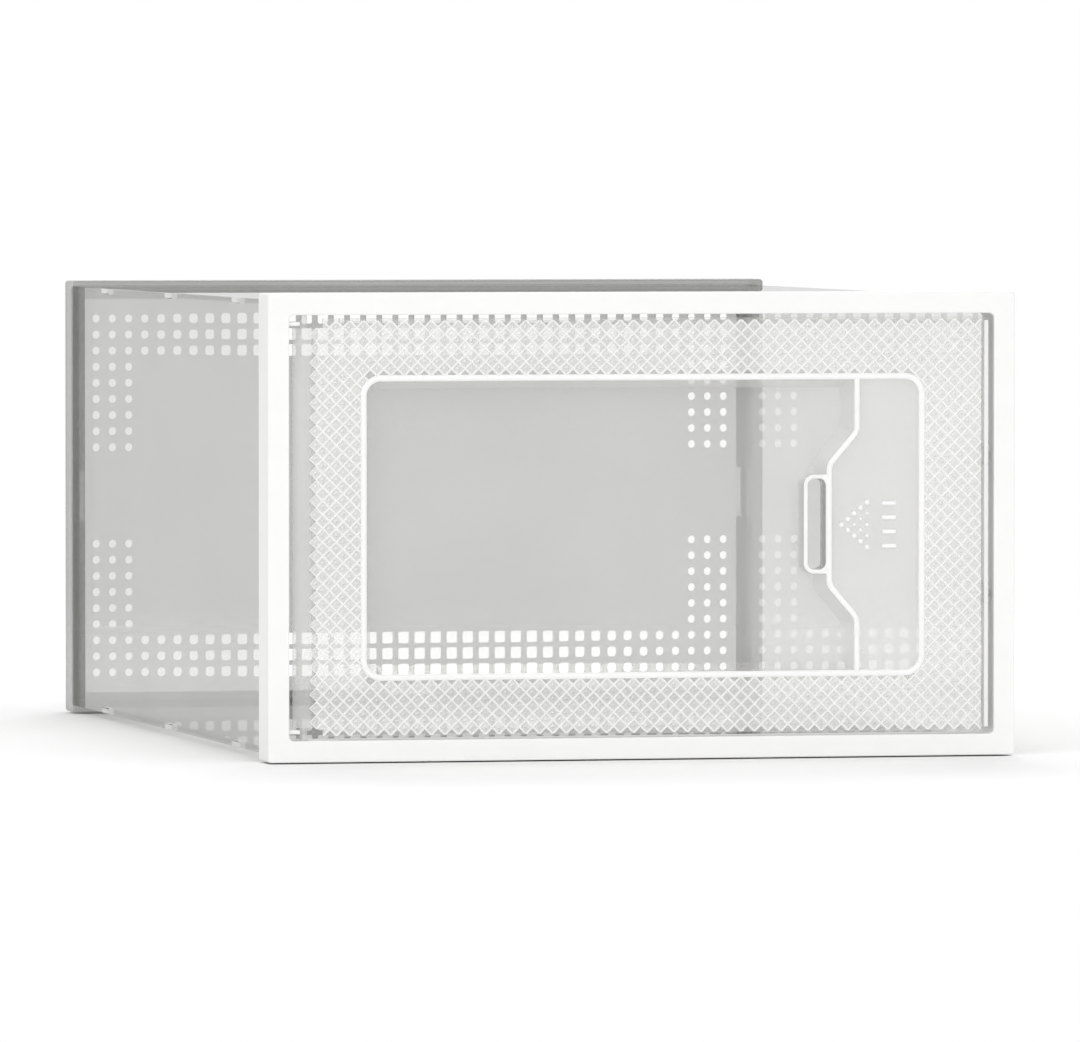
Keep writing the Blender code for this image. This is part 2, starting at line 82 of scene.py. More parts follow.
# the hinge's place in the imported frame, or a fixed one where the joint doesn't give it
PIVOT = Vector(HINGE["pos_m"]) / MM if "pos_m" in HINGE else Vector((-103.5, -163.5, 70.0))

HALF_WIDTH = (FRAME_HIGH.x - FRAME_LOW.x) / 2
HEIGHT = FRAME_HIGH.z - FRAME_LOW.z
FRONT = FRAME_LOW.y
BACK = TRAY_HIGH.y
TRAY_FRONT = TRAY_LOW.y
FRAME_DEPTH = FRAME_HIGH.y - FRAME_LOW.y
FRAME_FACE = 6.5                 # width of the frame's front face
GROOVE_FROM = 6.0                # depth at which the frame's panel groove starts
BACK_WALL = 1.8

GAP = 0.3                        # play between fitted pieces
PANEL = 1.5                      # thickness of a panel
PANEL_INSET = 2.0                # from the box's outside to a panel's outer face
PANEL_FRONT = FRONT + GROOVE_FROM + GAP
PANEL_BACK = BACK - BACK_WALL - GAP
SIDE_FLANGE = 6.0                # from the box's outside to the tip of a panel's back flange
NOTCH_LONG, NOTCH_DEEP = 16.0, 1.9
NOTCH_MID_Z = 70.0

OPEN_X = HALF_WIDTH - FRAME_FACE
OPEN_LOW, OPEN_HIGH = FRAME_FACE, HEIGHT - FRAME_FACE
DOOR_SET = 1.2                   # how far the door's face is set back from the frame's
DOOR_GAP = 1.1
DOOR_LOW, DOOR_HIGH = OPEN_LOW + DOOR_GAP, OPEN_HIGH - DOOR_GAP
DOOR_RIGHT = OPEN_X - 1.5
DOOR_SKIRT = 4.0                 # depth of the door's rim
FACE = FRONT + DOOR_SET          # the door's front face
MID_Z = 69.85                    # mid height of the door's details
NUB_AT = (-20.85, 20.85)         # heights of the free edge's nubs from MID_Z


# ---------------------------------------------------------------- shader helpers
def feed(tree, target, inputs):
    """Link or set each input of a node."""
    for key, value in inputs.items():
        if isinstance(value, bpy.types.NodeSocket):
            tree.links.new(value, target.inputs[key])
        else:
            target.inputs[key].default_value = value


def node(tree, kind, inputs=None, **settings):
    made = tree.nodes.new("ShaderNode" + kind)
    for name, value in settings.items():
        setattr(made, name, value)
    feed(tree, made, inputs or {})
    return made


def maths(tree, operation, first, second, clamp=False):
    return node(tree, "Math", {0: first, 1: second}, operation=operation, use_clamp=clamp).outputs[0]


def mix_shaders(tree, share, first, second):
    inputs = {"Fac": share, 1: first.outputs[0], 2: second.outputs[0]}
    return node(tree, "MixShader", inputs)


def noise(tree, scale, detail=2.0, rough=0.5):
    where = node(tree, "TexCoord").outputs["Object"]
    mapped = node(tree, "Mapping", {"Vector": where}).outputs["Vector"]
    inputs = {"Scale": scale, "Detail": detail, "Roughness": rough, "Vector": mapped}
    return node(tree, "TexNoise", inputs).outputs["Fac"]


def ranged(tree, source, low, high):
    """A noise's middle range spread from low to high."""
    inputs = {"From Min": 0.3, "From Max": 0.7, "To Min": low, "To Max": high, "Value": source}
    return node(tree, "MapRange", inputs).outputs["Result"]


def tinted(tree, value, colour):
    """A colour scaled by a value."""
    made = node(tree, "VectorMath", operation="SCALE")
    feed(tree, made, {0: colour, "Scale": value})
    return made.outputs["Vector"]


def bumped(tree, sources):
    """One normal from several (height, strength, distance) sources."""
    last = None
    for height, strength, distance in sources:
        inputs = {"Strength": strength, "Distance": distance, "Height": height}
        if last is not None:
            inputs["Normal"] = last
        last = node(tree, "Bump", inputs).outputs["Normal"]
    return last


def new_material(name):
    material = bpy.data.materials.new(name)
    material.use_nodes = True
    return material, material.node_tree


# ---------------------------------------------------------------- materials
def clear_plastic(name, tint, haze, milk, shine=0.6, rough=0.08, wave=0.06, vary=0.03,
                  grain=0.02, head_on=0.04, edge_dim=0.0, back_lit=0.2, back_shine=None):
    """See-through moulded plastic, one face at a time: what is behind it is tinted, a
    thin milky share scatters, and a mirror share grows towards grazing angles.

    haze: share that scatters in the milk colour, back_lit of it passing light through.
    shine: mirror share at grazing, head_on the part of it kept when seen straight on,
    back_shine the mirror share of the face's back. rough: mirror roughness.
    wave, grain: strength of the slow and fine bumps. vary: unevenness of the tint.
    edge_dim: darkening of the tint at grazing angles.
    """
    material, tree = new_material(name)
    tree.nodes.clear()
    slow = noise(tree, scale=22.0)
    fine = noise(tree, scale=420.0, detail=3.0, rough=0.6)
    grazing = node(tree, "LayerWeight", {"Blend": 0.5}).outputs["Facing"]
    normal = bumped(tree, [(slow, wave, 0.002), (fine, grain, 0.0002)])

    level = ranged(tree, slow, low=1.0 - vary, high=1.0)
    if edge_dim:
        dimming = maths(tree, "MULTIPLY", maths(tree, "POWER", grazing, 6.0), edge_dim)
        level = maths(tree, "MULTIPLY", level, maths(tree, "SUBTRACT", 1.0, dimming))
    through = node(tree, "BsdfTransparent", {"Color": tinted(tree, level, tint)})

    milk_level = ranged(tree, fine, low=0.975, high=1.0)
    milky = node(tree, "BsdfDiffuse", {
        "Roughness": 0.4, "Color": tinted(tree, milk_level, milk), "Normal": normal})
    glow = node(tree, "BsdfTranslucent", {"Color": (*milk, 1.0)})
    cloudy = mix_shaders(tree, back_lit, milky, glow)
    mirror = node(tree, "BsdfAnisotropic", {
        "Color": (1.0, 1.0, 1.0, 1.0),
        "Roughness": ranged(tree, slow, low=rough * 0.7, high=rough * 1.4),
        "Normal": normal})

    haze_level = ranged(tree, slow, low=0.985, high=1.015)
    veil = mix_shaders(tree, maths(tree, "MULTIPLY", haze_level, haze, clamp=True), through, cloudy)

    growing = maths(tree, "MULTIPLY", maths(tree, "POWER", grazing, 5.0), shine * (1 - head_on))
    share = maths(tree, "ADD", growing, shine * head_on, clamp=True)
    if back_shine is not None:
        behind = node(tree, "NewGeometry").outputs["Backfacing"]
        change = maths(tree, "MULTIPLY", behind, back_shine / shine - 1.0)
        share = maths(tree, "MULTIPLY", share, maths(tree, "ADD", 1.0, change))
    whole = mix_shaders(tree, share, veil, mirror)
    node(tree, "OutputMaterial", {"Surface": whole.outputs[0]})
    material.diffuse_color = (*tint, 0.4)
    return material


def white_plastic(name, colour, rough):
    """Moulded white plastic: a soft even sheen, a fine tooled grain and a slow sink wave."""
    material, tree = new_material(name)
    slow = noise(tree, scale=14.0)
    fine = noise(tree, scale=1400.0, detail=4.0, rough=0.65)
    cloud = noise(tree, scale=90.0, detail=3.0, rough=0.55)
    feed(tree, tree.nodes["Principled BSDF"], {
        "Base Color": tinted(tree, ranged(tree, cloud, low=0.982, high=1.0), colour),
        "Roughness": ranged(tree, cloud, low=rough * 0.88, high=rough * 1.15),
        "Normal": bumped(tree, [(slow, 0.05, 0.002), (fine, 0.05, 0.0001)]),
        "Specular IOR Level": 0.45,
        "IOR": 1.49})
    return material


WHITE = white_plastic("frame_white", colour=(0.905, 0.904, 0.899), rough=0.36)

# door
DOOR = clear_plastic(
    "door_clear", tint=(0.985, 0.985, 0.98), haze=0.14, milk=(0.985, 0.985, 0.975),
    shine=0.55, rough=0.04, wave=0.004, vary=0.015, grain=0.0)
FLAP = clear_plastic(
    "door_flap", tint=(0.985, 0.985, 0.98), haze=0.32, milk=(0.95, 0.95, 0.94),
    shine=0.5, rough=0.08, wave=0.01, vary=0.015, grain=0.0)
WALL = clear_plastic(
    "door_wall", tint=(0.95, 0.95, 0.945), haze=0.36, milk=(0.95, 0.95, 0.94),
    shine=0.9, rough=0.1)
SILL = clear_plastic(
    "window_sill", tint=(0.955, 0.955, 0.95), haze=0.13, milk=(0.80, 0.80, 0.79),
    shine=0.6, rough=0.06)
# the finger slot's inner walls: a dark tint that is painted shade inside the slot, not a darker
# plastic
POCKET = clear_plastic(
    "slot_wall", tint=(0.70, 0.70, 0.695), haze=0.12, milk=(0.6, 0.6, 0.59),
    shine=0.7, rough=0.12)
BARREL = clear_plastic(
    "door_barrel", tint=(0.99, 0.99, 0.985), haze=0.3, milk=(0.95, 0.95, 0.94),
    shine=0.6, rough=0.1)
EDGE = clear_plastic(
    "clear_edge", tint=(0.78, 0.785, 0.785), haze=0.14, milk=(0.7, 0.7, 0.7),
    shine=0.8, rough=0.1)

# diamond lattice and beads
CELL = clear_plastic(
    "lattice_cell", tint=(0.99, 0.99, 0.985), haze=0.47, milk=(0.99, 0.99, 0.98),
    shine=0.9, rough=0.12, head_on=0.08, back_lit=0.12)
FACET = clear_plastic(
    "lattice_facet", tint=(0.955, 0.955, 0.95), haze=0.46, milk=(0.94, 0.94, 0.93),
    shine=0.9, rough=0.1, head_on=0.1, back_lit=0.12)
UNDER = clear_plastic(
    "lattice_under", tint=(0.995, 0.995, 0.99), haze=0.03, milk=(0.95, 0.95, 0.94),
    shine=0.1, rough=0.1)
HOLLOW = clear_plastic(
    "lattice_hollow", tint=(0.94, 0.94, 0.935), haze=0.2, milk=(0.85, 0.85, 0.84),
    shine=0.8, rough=0.1)
RIB = clear_plastic(
    "lattice_rib", tint=(0.99, 0.99, 0.985), haze=0.85, milk=(0.99, 0.99, 0.985),
    shine=0.6, rough=0.15, back_lit=0.08)
BEAD_WHITE = clear_plastic(
    "bead_white", tint=(0.99, 0.99, 0.985), haze=0.94, milk=(0.995, 0.995, 0.99),
    shine=0.6, rough=0.15, back_lit=0.04)

# panels; each face mirrors mostly towards its own side, so that reflections stay crisp
SHEET_IN = clear_plastic(
    "panel_clear_in", tint=(0.985, 0.985, 0.98), haze=0.08, milk=(0.82, 0.82, 0.81),
    shine=1.3, rough=0.006, wave=0.001, grain=0.0, edge_dim=0.28, back_shine=0.2)
SHEET_OUT = clear_plastic(
    "panel_clear_out", tint=(0.985, 0.985, 0.98), haze=0.11, milk=(0.86, 0.86, 0.85),
    shine=0.9, rough=0.006, wave=0.001, grain=0.0, edge_dim=0.28, back_shine=0.1)
# the top and bottom panels darken strongly at grazing angles: partly the longer path through the
# sheet, partly painted shade for the shaded floor seen through the bottom panel
FLAT_IN = clear_plastic(
    "flat_panel_clear_in", tint=(0.985, 0.985, 0.98), haze=0.05, milk=(0.76, 0.76, 0.75),
    shine=0.8, rough=0.006, wave=0.001, grain=0.0, edge_dim=0.80, back_shine=0.3)
FLAT_OUT = clear_plastic(
    "flat_panel_clear_out", tint=(0.985, 0.985, 0.98), haze=0.05, milk=(0.76, 0.76, 0.75),
    shine=0.95, rough=0.006, wave=0.001, grain=0.0, edge_dim=0.60, back_shine=0.3)
RIMS = clear_plastic(
    "panel_edge", tint=(0.60, 0.605, 0.605), haze=0.12, milk=(0.50, 0.50, 0.50),
    shine=0.7, rough=0.1)
TAB = clear_plastic(
    "panel_tab", tint=(0.985, 0.985, 0.98), haze=0.72, milk=(0.86, 0.86, 0.85),
    shine=0.4, rough=0.05, wave=0.005, grain=0.0)
FLANGE = clear_plastic(
    "panel_flange", tint=(0.67, 0.67, 0.665), haze=0.10, milk=(0.58, 0.58, 0.57),
    shine=0.6, rough=0.1)

# back tray
TRAY = clear_plastic(
    "back_clear", tint=(0.735, 0.735, 0.73), haze=0.14, milk=(0.6, 0.6, 0.595),
    shine=0.4, rough=0.12)
TRAY_RIM = clear_plastic(
    "back_rim", tint=(0.64, 0.64, 0.635), haze=0.12, milk=(0.54, 0.54, 0.535),
    shine=0.6, rough=0.12)


# ---------------------------------------------------------------- outlines
def corner_arc(before, here, after, radius, steps):
    """steps + 1 points of the arc that rounds the corner at here."""
    here = Vector(here)
    to_last = (Vector(before) - here).normalized()
    to_next = (Vector(after) - here).normalized()
    half = to_last.angle(to_next) / 2
    reach = radius / math.tan(half)
    centre = here + (to_last + to_next).normalized() * (radius / math.sin(half))
    start, end = here + to_last * reach - centre, here + to_next * reach - centre
    turn = start.angle(end)
    points = []
    for k in range(steps + 1):
        part = k / steps
        swing = start * math.sin((1 - part) * turn) + end * math.sin(part * turn)
        points.append(centre + swing / math.sin(turn))
    return points


def rounded(points, radii, steps):
    """A closed outline whose corners are arcs."""
    out = []
    for i, here in enumerate(points):
        after = points[(i + 1) % len(points)]
        out += corner_arc(points[i - 1], here, after, max(radii[i], 0.05), steps)
    return out


def moved_in(points, distance):
    """Corners of a counter-clockwise outline with every side moved inwards."""
    out = []
    count = len(points)
    for i in range(count):
        last, here, after = (Vector(points[j % count]) for j in (i - 1, i, i + 1))
        arriving, leaving = (here - last).normalized(), (after - here).normalized()
        normal_in = Vector((-arriving.y, arriving.x))
        normal_out = Vector((-leaving.y, leaving.x))
        scale = distance / (1 + normal_in.dot(normal_out))
        out.append(here + (normal_in + normal_out) * scale)
    return out


def between(first, second, part):
    return [Vector(a).lerp(Vector(b), part) for a, b in zip(first, second)]


def rectangle(x0, x1, z0, z1):
    return [(x0, z0), (x1, z0), (x1, z1), (x0, z1)]


def box_loop(inset, y, radius):
    """The box's rounded outline in x and z, moved in from its outside, at depth y."""
    corners = rectangle(-HALF_WIDTH + inset, HALF_WIDTH - inset, inset, HEIGHT - inset)
    return [(x, y, z) for x, z in rounded(corners, [radius] * 4, 6)]


# ---------------------------------------------------------------- meshes
# how a flat outline and its depth turn into x, y, z, by the axis of the depth
TURNS = {
    "y": Matrix(((1, 0, 0, 0), (0, 0, 1, 0), (0, 1, 0, 0), (0, 0, 0, 1))),
    "x": Matrix(((0, 0, 1, 0), (1, 0, 0, 0), (0, 1, 0, 0), (0, 0, 0, 1))),
    "z": Matrix.Identity(4),
}
EVEN_LIMIT = 30000               # meshes with fewer faces get area-weighted normals

scratch = bpy.data.collections.new("scratch")
bpy.context.scene.collection.children.link(scratch)


def mesh_from(name, shape):
    bmesh.ops.recalc_face_normals(shape, faces=shape.faces)
    mesh = bpy.data.meshes.new(name)
    shape.to_mesh(mesh)
    shape.free()
    return mesh


def bridge(shape, first, second):
    """A closed band of quads between two rings of vertices."""
    for i in range(len(first)):
        j = (i + 1) % len(first)
        shape.faces.new((first[i], first[j], second[j], second[i]))


def round_edges(shape, edges, offset, segments):
    bmesh.ops.bevel(shape, geom=edges, offset=offset, segments=segments, affect="EDGES",
                    profile=0.5)


def slab(name, loops, start, end):
    """A flat outline with any inner loops as holes, between two depths along y. The holes
    are convex, so a triangle whose corners all lie on one hole's loop is inside it."""
    spots, edges, owner = [], [], []
    for k, loop in enumerate(loops):
        first, count = len(spots), len(loop)
        spots += [Vector((point[0], point[1])) for point in loop]
        owner += [k] * count
        edges += [(first + i, first + (i + 1) % count) for i in range(count)]
    spots, _, faces, origin, _, _ = delaunay_2d_cdt(spots, edges, [], 1, 1e-4)
    owner = [owner[sources[0]] for sources in origin]
    faces = [face for face in faces
             if len({owner[i] for i in face}) > 1 or owner[face[0]] == 0]
    sides = {(face[i], face[(i + 1) % len(face)]) for face in faces for i in range(len(face))}
    shape = bmesh.new()
    near = [shape.verts.new((spot.x, spot.y, start)) for spot in spots]
    far = [shape.verts.new((spot.x, spot.y, end)) for spot in spots]
    for face in faces:
        shape.faces.new([near[i] for i in reversed(face)])
        shape.faces.new([far[i] for i in face])
    for i, j in sides:
        if (j, i) not in sides:
            shape.faces.new((near[i], near[j], far[j], far[i]))
    bmesh.ops.transform(shape, matrix=TURNS["y"], verts=shape.verts)
    return mesh_from(name, shape)


def prism(name, outline, start, end, axis):
    """A single outline between two depths along an axis, with every edge rounded over."""
    shape = bmesh.new()
    near = [shape.verts.new((point[0], point[1], start)) for point in outline]
    far = [shape.verts.new((point[0], point[1], end)) for point in outline]
    shape.faces.new(list(reversed(near)))
    shape.faces.new(far)
    bridge(shape, near, far)
    bmesh.ops.recalc_face_normals(shape, faces=shape.faces)
    round_edges(shape, list(shape.edges), offset=0.14, segments=2)
    bmesh.ops.transform(shape, matrix=TURNS[axis], verts=shape.verts)
    return mesh_from(name, shape)


def block(name, low, high, bevel=0.2, segments=2):
    """A box with rounded edges."""
    shape = bmesh.new()
    low, high = Vector(low), Vector(high)
    bmesh.ops.create_cube(shape, size=1.0)
    for vert in shape.verts:
        vert.co = Vector(
            (low[i] + high[i]) / 2 + vert.co[i] * (high[i] - low[i]) for i in range(3))
    if bevel:
        round_edges(shape, list(shape.edges), bevel, segments)
    return mesh_from(name, shape)


def rod(name, radius, start, end, sides, bevel):
    """A round bar, its ends softened where bevel isn't zero."""
    start, end = Vector(start), Vector(end)
    axis = end - start
    turn = axis.to_track_quat("Z", "Y").to_matrix().to_4x4()
    shape = bmesh.new()
    bmesh.ops.create_cone(
        shape, cap_ends=True, segments=sides, radius1=radius, radius2=radius,
        depth=axis.length, matrix=Matrix.Translation((start + end) / 2) @ turn,
    )
    if bevel:
        rims = [edge for edge in shape.edges
                if any(len(face.verts) > 4 for face in edge.link_faces)]
        round_edges(shape, rims, bevel, segments=3)
    return mesh_from(name, shape)


def loft(name, front, back, y0, y1):
    """A solid between two outlines with the same number of points."""
    shape = bmesh.new()
    near = [shape.verts.new((point[0], y0, point[1])) for point in front]
    far = [shape.verts.new((point[0], y1, point[1])) for point in back]
    caps = [shape.faces.new(near), shape.faces.new(list(reversed(far)))]
    for i in range(len(near)):
        j = (i + 1) % len(near)
        shape.faces.new((near[j], near[i], far[i], far[j]))
    bmesh.ops.recalc_face_normals(shape, faces=shape.faces)
    bmesh.ops.triangulate(shape, faces=caps)
    return mesh_from(name, shape)


def swept(name, profile, loop_at, closed=True):
    """Quads through loop_at(inset, depth) for every point of a profile."""
    shape = bmesh.new()
    rings = [[shape.verts.new(point) for point in loop_at(inset, y)] for inset, y in profile]
    count = len(rings)
    for k in range(count if closed else count - 1):
        bridge(shape, rings[k], rings[(k + 1) % count])
    return mesh_from(name, shape)


def combined(base, changes):
    """base with other meshes joined to it or cut from it."""
    holder = bpy.data.objects.new(base.name, base)
    scratch.objects.link(holder)
    for operation, mesh in changes:
        helper = bpy.data.objects.new("helper", mesh)
        scratch.objects.link(helper)
        step = holder.modifiers.new("step", "BOOLEAN")
        step.operation = operation
        step.solver = "EXACT"
        step.object = helper
        bpy.context.view_layer.update()
        graph = bpy.context.evaluated_depsgraph_get()
        made = bpy.data.meshes.new_from_object(holder.evaluated_get(graph))
        holder.modifiers.clear()
        holder.data = made
        bpy.data.objects.remove(helper, do_unlink=True)
    made = holder.data
    bpy.data.objects.remove(holder, do_unlink=True)
    return made


def tidy(mesh):
    """Merge the slivers and drop the loose vertices that cutting leaves."""
    shape = bmesh.new()
    shape.from_mesh(mesh)
    bmesh.ops.remove_doubles(shape, verts=shape.verts, dist=2e-4)
    bmesh.ops.dissolve_degenerate(shape, edges=shape.edges, dist=1e-4)
    loose = [vert for vert in shape.verts if not vert.link_faces]
    if loose:
        bmesh.ops.delete(shape, geom=loose, context="VERTS")
    shape.to_mesh(mesh)
    shape.free()
    return mesh


def joined(name, meshes):
    """Several meshes as one, kept as separate shells."""
    shape = bmesh.new()
    for mesh in meshes:
        shape.from_mesh(mesh)
    made = bpy.data.meshes.new(name)
    shape.to_mesh(made)
    shape.free()
    return made


def even(mesh):
    """Corner normals weighted by face area, so flat walls stay flat beside rounded edges."""
    holder = bpy.data.objects.new("even", mesh)
    scratch.objects.link(holder)
    weights = holder.modifiers.new("weights", "WEIGHTED_NORMAL")
    weights.keep_sharp = True
    bpy.context.view_layer.update()
    graph = bpy.context.evaluated_depsgraph_get()
    made = bpy.data.meshes.new_from_object(
        holder.evaluated_get(graph), preserve_all_data_layers=True, depsgraph=graph)
    bpy.data.objects.remove(holder, do_unlink=True)
    return made


def piece(name, mesh, materials, body, stands_for=(), pick=None, smooth=35):
    """A finished piece of the box. pick gives a face's material from its centre, its normal
    and its two extreme corners. Edges sharper than smooth degrees stay sharp."""
    made = mesh.copy()
    made.name = name
    made.materials.clear()
    for material in materials:
        made.materials.append(material)
    if pick:
        for polygon in made.polygons:
            spots = [made.vertices[i].co for i in polygon.vertices]
            low = Vector(min(spot[k] for spot in spots) for k in range(3))
            high = Vector(max(spot[k] for spot in spots) for k in range(3))
            chosen = pick(polygon.center, polygon.normal, low, high)
            polygon.material_index = materials.index(chosen)
    made.transform(Matrix.Scale(MM, 4))
    made.shade_smooth()
    made.set_sharp_from_angle(angle=math.radians(smooth))
    if len(made.polygons) < EVEN_LIMIT:
        made = even(made)
        made.name = name
    obj = bpy.data.objects.new(name, made)
    bpy.context.scene.collection.objects.link(obj)
    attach(obj, body)
    if stands_for:
        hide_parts(*stands_for)
    return obj


# ---------------------------------------------------------------- front frame
SOCKET_R, SOCKET_DEEP = 1.5, 3.1
LUG_GAP, LUG_THICK = 0.9, 1.2    # lug's distance inside the door's end, and its height
STOP_HALF = 3.0                  # half height of a stop behind the door's free edge


def frame_loop(inset, depth):
    return box_loop(inset, FRONT + depth, 1.0 + 0.5 * inset / FRAME_FACE)


def make_frame():
    outer, inner = PANEL_INSET - GAP, PANEL_INSET + PANEL + GAP
    # (inset, depth) corners of the moulding, with the panel groove open to the back
    profile = rounded(
        [(0, FRAME_DEPTH), (0, 0), (FRAME_FACE, 0), (FRAME_FACE, FRAME_DEPTH),
         (inner, FRAME_DEPTH), (inner, GROOVE_FROM), (outer, GROOVE_FROM), (outer, FRAME_DEPTH)],
        [0.4, 0.6, 0.45, 0.5, 0.4, 0.3, 0.3, 0.35], 4)
    ring = swept("front_frame_moulding", profile, frame_loop)
    changes = []
    for edge, sign in ((OPEN_LOW, -1), (OPEN_HIGH, 1)):
        from_edge = DOOR_GAP + LUG_GAP
        z0, z1 = sorted((edge - sign * from_edge, edge - sign * (from_edge + LUG_THICK)))
        changes.append(("UNION", block(
            "lug", (-OPEN_X - 1.5, FRONT + 1.4, z0), (-OPEN_X + 3.5, FRONT + 8.0, z1))))
        changes.append(("DIFFERENCE", rod(
            "socket", SOCKET_R, (PIVOT.x, PIVOT.y, edge - sign * 2.0),
            (PIVOT.x, PIVOT.y, edge + sign * SOCKET_DEEP), sides=32, bevel=0)))
    for off in NUB_AT:
        changes.append(("UNION", block(
            "stop", (OPEN_X - 2.3, FACE + DOOR_SKIRT + 0.4, MID_Z + off - STOP_HALF),
            (OPEN_X + 1.2, FRONT + 11.0, MID_Z + off + STOP_HALF), 0.3)))
    piece("front_frame_moulding", tidy(combined(ring, changes)), [WHITE], "box",
          ["front_frame"], smooth=40)


# ---------------------------------------------------------------- clear panels
TAB_HALF = 12.0 / 2
TAB_AT = (-107.5, 0.0, 107.5)
NOTCH_HALF = NOTCH_LONG / 2
FLANGE_BITE = 0.7                # how far a back flange runs into its plate
FLANGE_SHORT = 0.02              # keeps the flange's back off the plate's end face


def near_tab(y, reach):
    return any(abs(y - at) < reach + 0.2 for at in TAB_AT)


def faces_back(centre, normal):
    """Whether a face looks along y within the depth of the back flange."""
    return abs(normal.y) > 0.9 and centre.y > PANEL_BACK - PANEL - 0.1


def with_flange(name, plate, flange):
    """A plate with a flange along its back edge."""
    return combined(plate, [("UNION", prism(
        name + "_flange", flange, PANEL_BACK - PANEL, PANEL_BACK - FLANGE_SHORT, "y"))])


def make_side_panel(name, sign):
    """An upright panel, slotted for the tabs; sign is -1 on the left and 1 on the right."""
    outer, inner = HALF_WIDTH - PANEL_INSET, HALF_WIDTH - PANEL_INSET - PANEL
    tip = HALF_WIDTH - SIDE_FLANGE
    y0, y1 = PANEL_FRONT, PANEL_BACK
    low, high = PANEL_INSET, HEIGHT - PANEL_INSET
    room, deep = TAB_HALF + GAP, PANEL + GAP
    outline = [(y0, low)]
    for y in TAB_AT:
        outline += [(y - room, low), (y - room, low + deep), (y + room, low + deep),
                    (y + room, low)]
    outline += [(y1, low), (y1, high)]
    for y in reversed(TAB_AT):
        outline += [(y + room, high), (y + room, high - deep), (y - room, high - deep),
                    (y - room, high)]
    outline.append((y0, high))
    x0, x1 = sorted((sign * inner, sign * outer))
    plate = prism(name, outline, x0, x1, "x")

    z0, z1 = low + deep, high - deep
    tip_x, root_x = sign * tip, sign * (inner + FLANGE_BITE)
    notch_x = sign * (tip + NOTCH_DEEP)
    notch_low, notch_high = NOTCH_MID_Z - NOTCH_HALF, NOTCH_MID_Z + NOTCH_HALF
    flange = [(tip_x, z0), (root_x, z0), (root_x, z1), (tip_x, z1), (tip_x, notch_high),
              (notch_x, notch_high), (notch_x, notch_low), (tip_x, notch_low)]
    made = with_flange(name, plate, flange)

    def pick(centre, normal, *_):
        if abs(normal.x) > 0.9 and abs(centre.x) > inner - 0.05:
            return SHEET_IN if normal.x * sign < 0 else SHEET_OUT
        if near_tab(centre.y, room):
            return TAB
        return FLANGE if faces_back(centre, normal) and abs(centre.x) < inner + 0.4 else RIMS
    piece(name + "_sheet", made, [SHEET_IN, SHEET_OUT, RIMS, FLANGE, TAB], "box",
          [name], pick)


def make_flat_panel(name, top):
    """The top or bottom panel, with tabs that reach into the side panels."""
    reach, full = HALF_WIDTH - PANEL_INSET - PANEL - GAP, HALF_WIDTH - PANEL_INSET
    y0, y1 = PANEL_FRONT, PANEL_BACK
    outline = [(-reach, y0), (reach, y0)]
    for y in TAB_AT:
        outline += [(reach, y - TAB_HALF), (full, y - TAB_HALF), (full, y + TAB_HALF),
                    (reach, y + TAB_HALF)]
    outline += [(reach, y1), (-reach, y1)]
    for y in reversed(TAB_AT):
        outline += [(-reach, y + TAB_HALF), (-full, y + TAB_HALF), (-full, y - TAB_HALF),
                    (-reach, y - TAB_HALF)]

    def height(inset):
        return HEIGHT - inset if top else inset
    z0, z1 = sorted((height(PANEL_INSET), height(PANEL_INSET + PANEL)))
    plate = prism(name, outline, z0, z1, "z")

    span = HALF_WIDTH - SIDE_FLANGE - GAP
    root = height(PANEL_INSET + PANEL - FLANGE_BITE)
    tip, notch = height(SIDE_FLANGE), height(SIDE_FLANGE - NOTCH_DEEP)
    flange = [(-span, root), (span, root), (span, tip), (NOTCH_HALF, tip), (NOTCH_HALF, notch),
              (-NOTCH_HALF, notch), (-NOTCH_HALF, tip), (-span, tip)]
    made = with_flange(name, plate, flange)

    def pick(centre, normal, *_):
        if abs(normal.z) > 0.9 and z0 - 0.05 < centre.z < z1 + 0.05:
            return FLAT_IN if (normal.z < 0) == top else FLAT_OUT
        if abs(centre.x) > reach - 0.2 and near_tab(centre.y, TAB_HALF):
            return TAB
        return FLANGE if faces_back(centre, normal) else RIMS
    piece(name + "_sheet", made, [FLAT_IN, FLAT_OUT, RIMS, FLANGE, TAB], "box",
          [name], pick)


# ---------------------------------------------------------------- back tray
LIP = 1.7                        # thickness of the tray's rim
TRAY_EDGE = 6.0                  # inset at which the rim meets the vented plate
VENT_COLUMNS, VENT_ROWS = 40, 23
VENT_SPAN_X, VENT_SPAN_Z = 209.8, 115.2
VENT_BAND, VENT_SIDE_ROWS = 3, 9  # holes across a band, and rows of the bands at the sides
VENT_SMALL, VENT_LARGE = 2.7, 3.8
VENT_GROW_FROM, VENT_GROW_OVER = 2, 10.0  # columns where holes start to grow, and over which


def vent_loops():
    """Round holes that grow into squarer ones away from the sides, in bands along the top
    and bottom and down the corners."""
    step_x, step_z = VENT_SPAN_X / (VENT_COLUMNS - 1), VENT_SPAN_Z / (VENT_ROWS - 1)
    loops = []
    for row in range(VENT_ROWS):
        from_edge = min(row, VENT_ROWS - 1 - row)
        in_rows = from_edge < VENT_BAND
        for column in range(VENT_COLUMNS):
            from_side = min(column, VENT_COLUMNS - 1 - column)
            if not (in_rows or (from_side < VENT_BAND and from_edge < VENT_SIDE_ROWS)):
                continue
            grow = 0.0
            if in_rows:
                grow = min(1.0, max(0.0, (from_side - VENT_GROW_FROM) / VENT_GROW_OVER))
            half = (VENT_SMALL + (VENT_LARGE - VENT_SMALL) * grow) / 2
            corner = half * (0.98 - 0.6 * grow)
            x = -VENT_SPAN_X / 2 + column * step_x
            z = HEIGHT / 2 - VENT_SPAN_Z / 2 + row * step_z
            square = rectangle(x - half, x + half, z - half, z + half)
            loops.append(rounded(square, [corner] * 4, 4))
    return loops


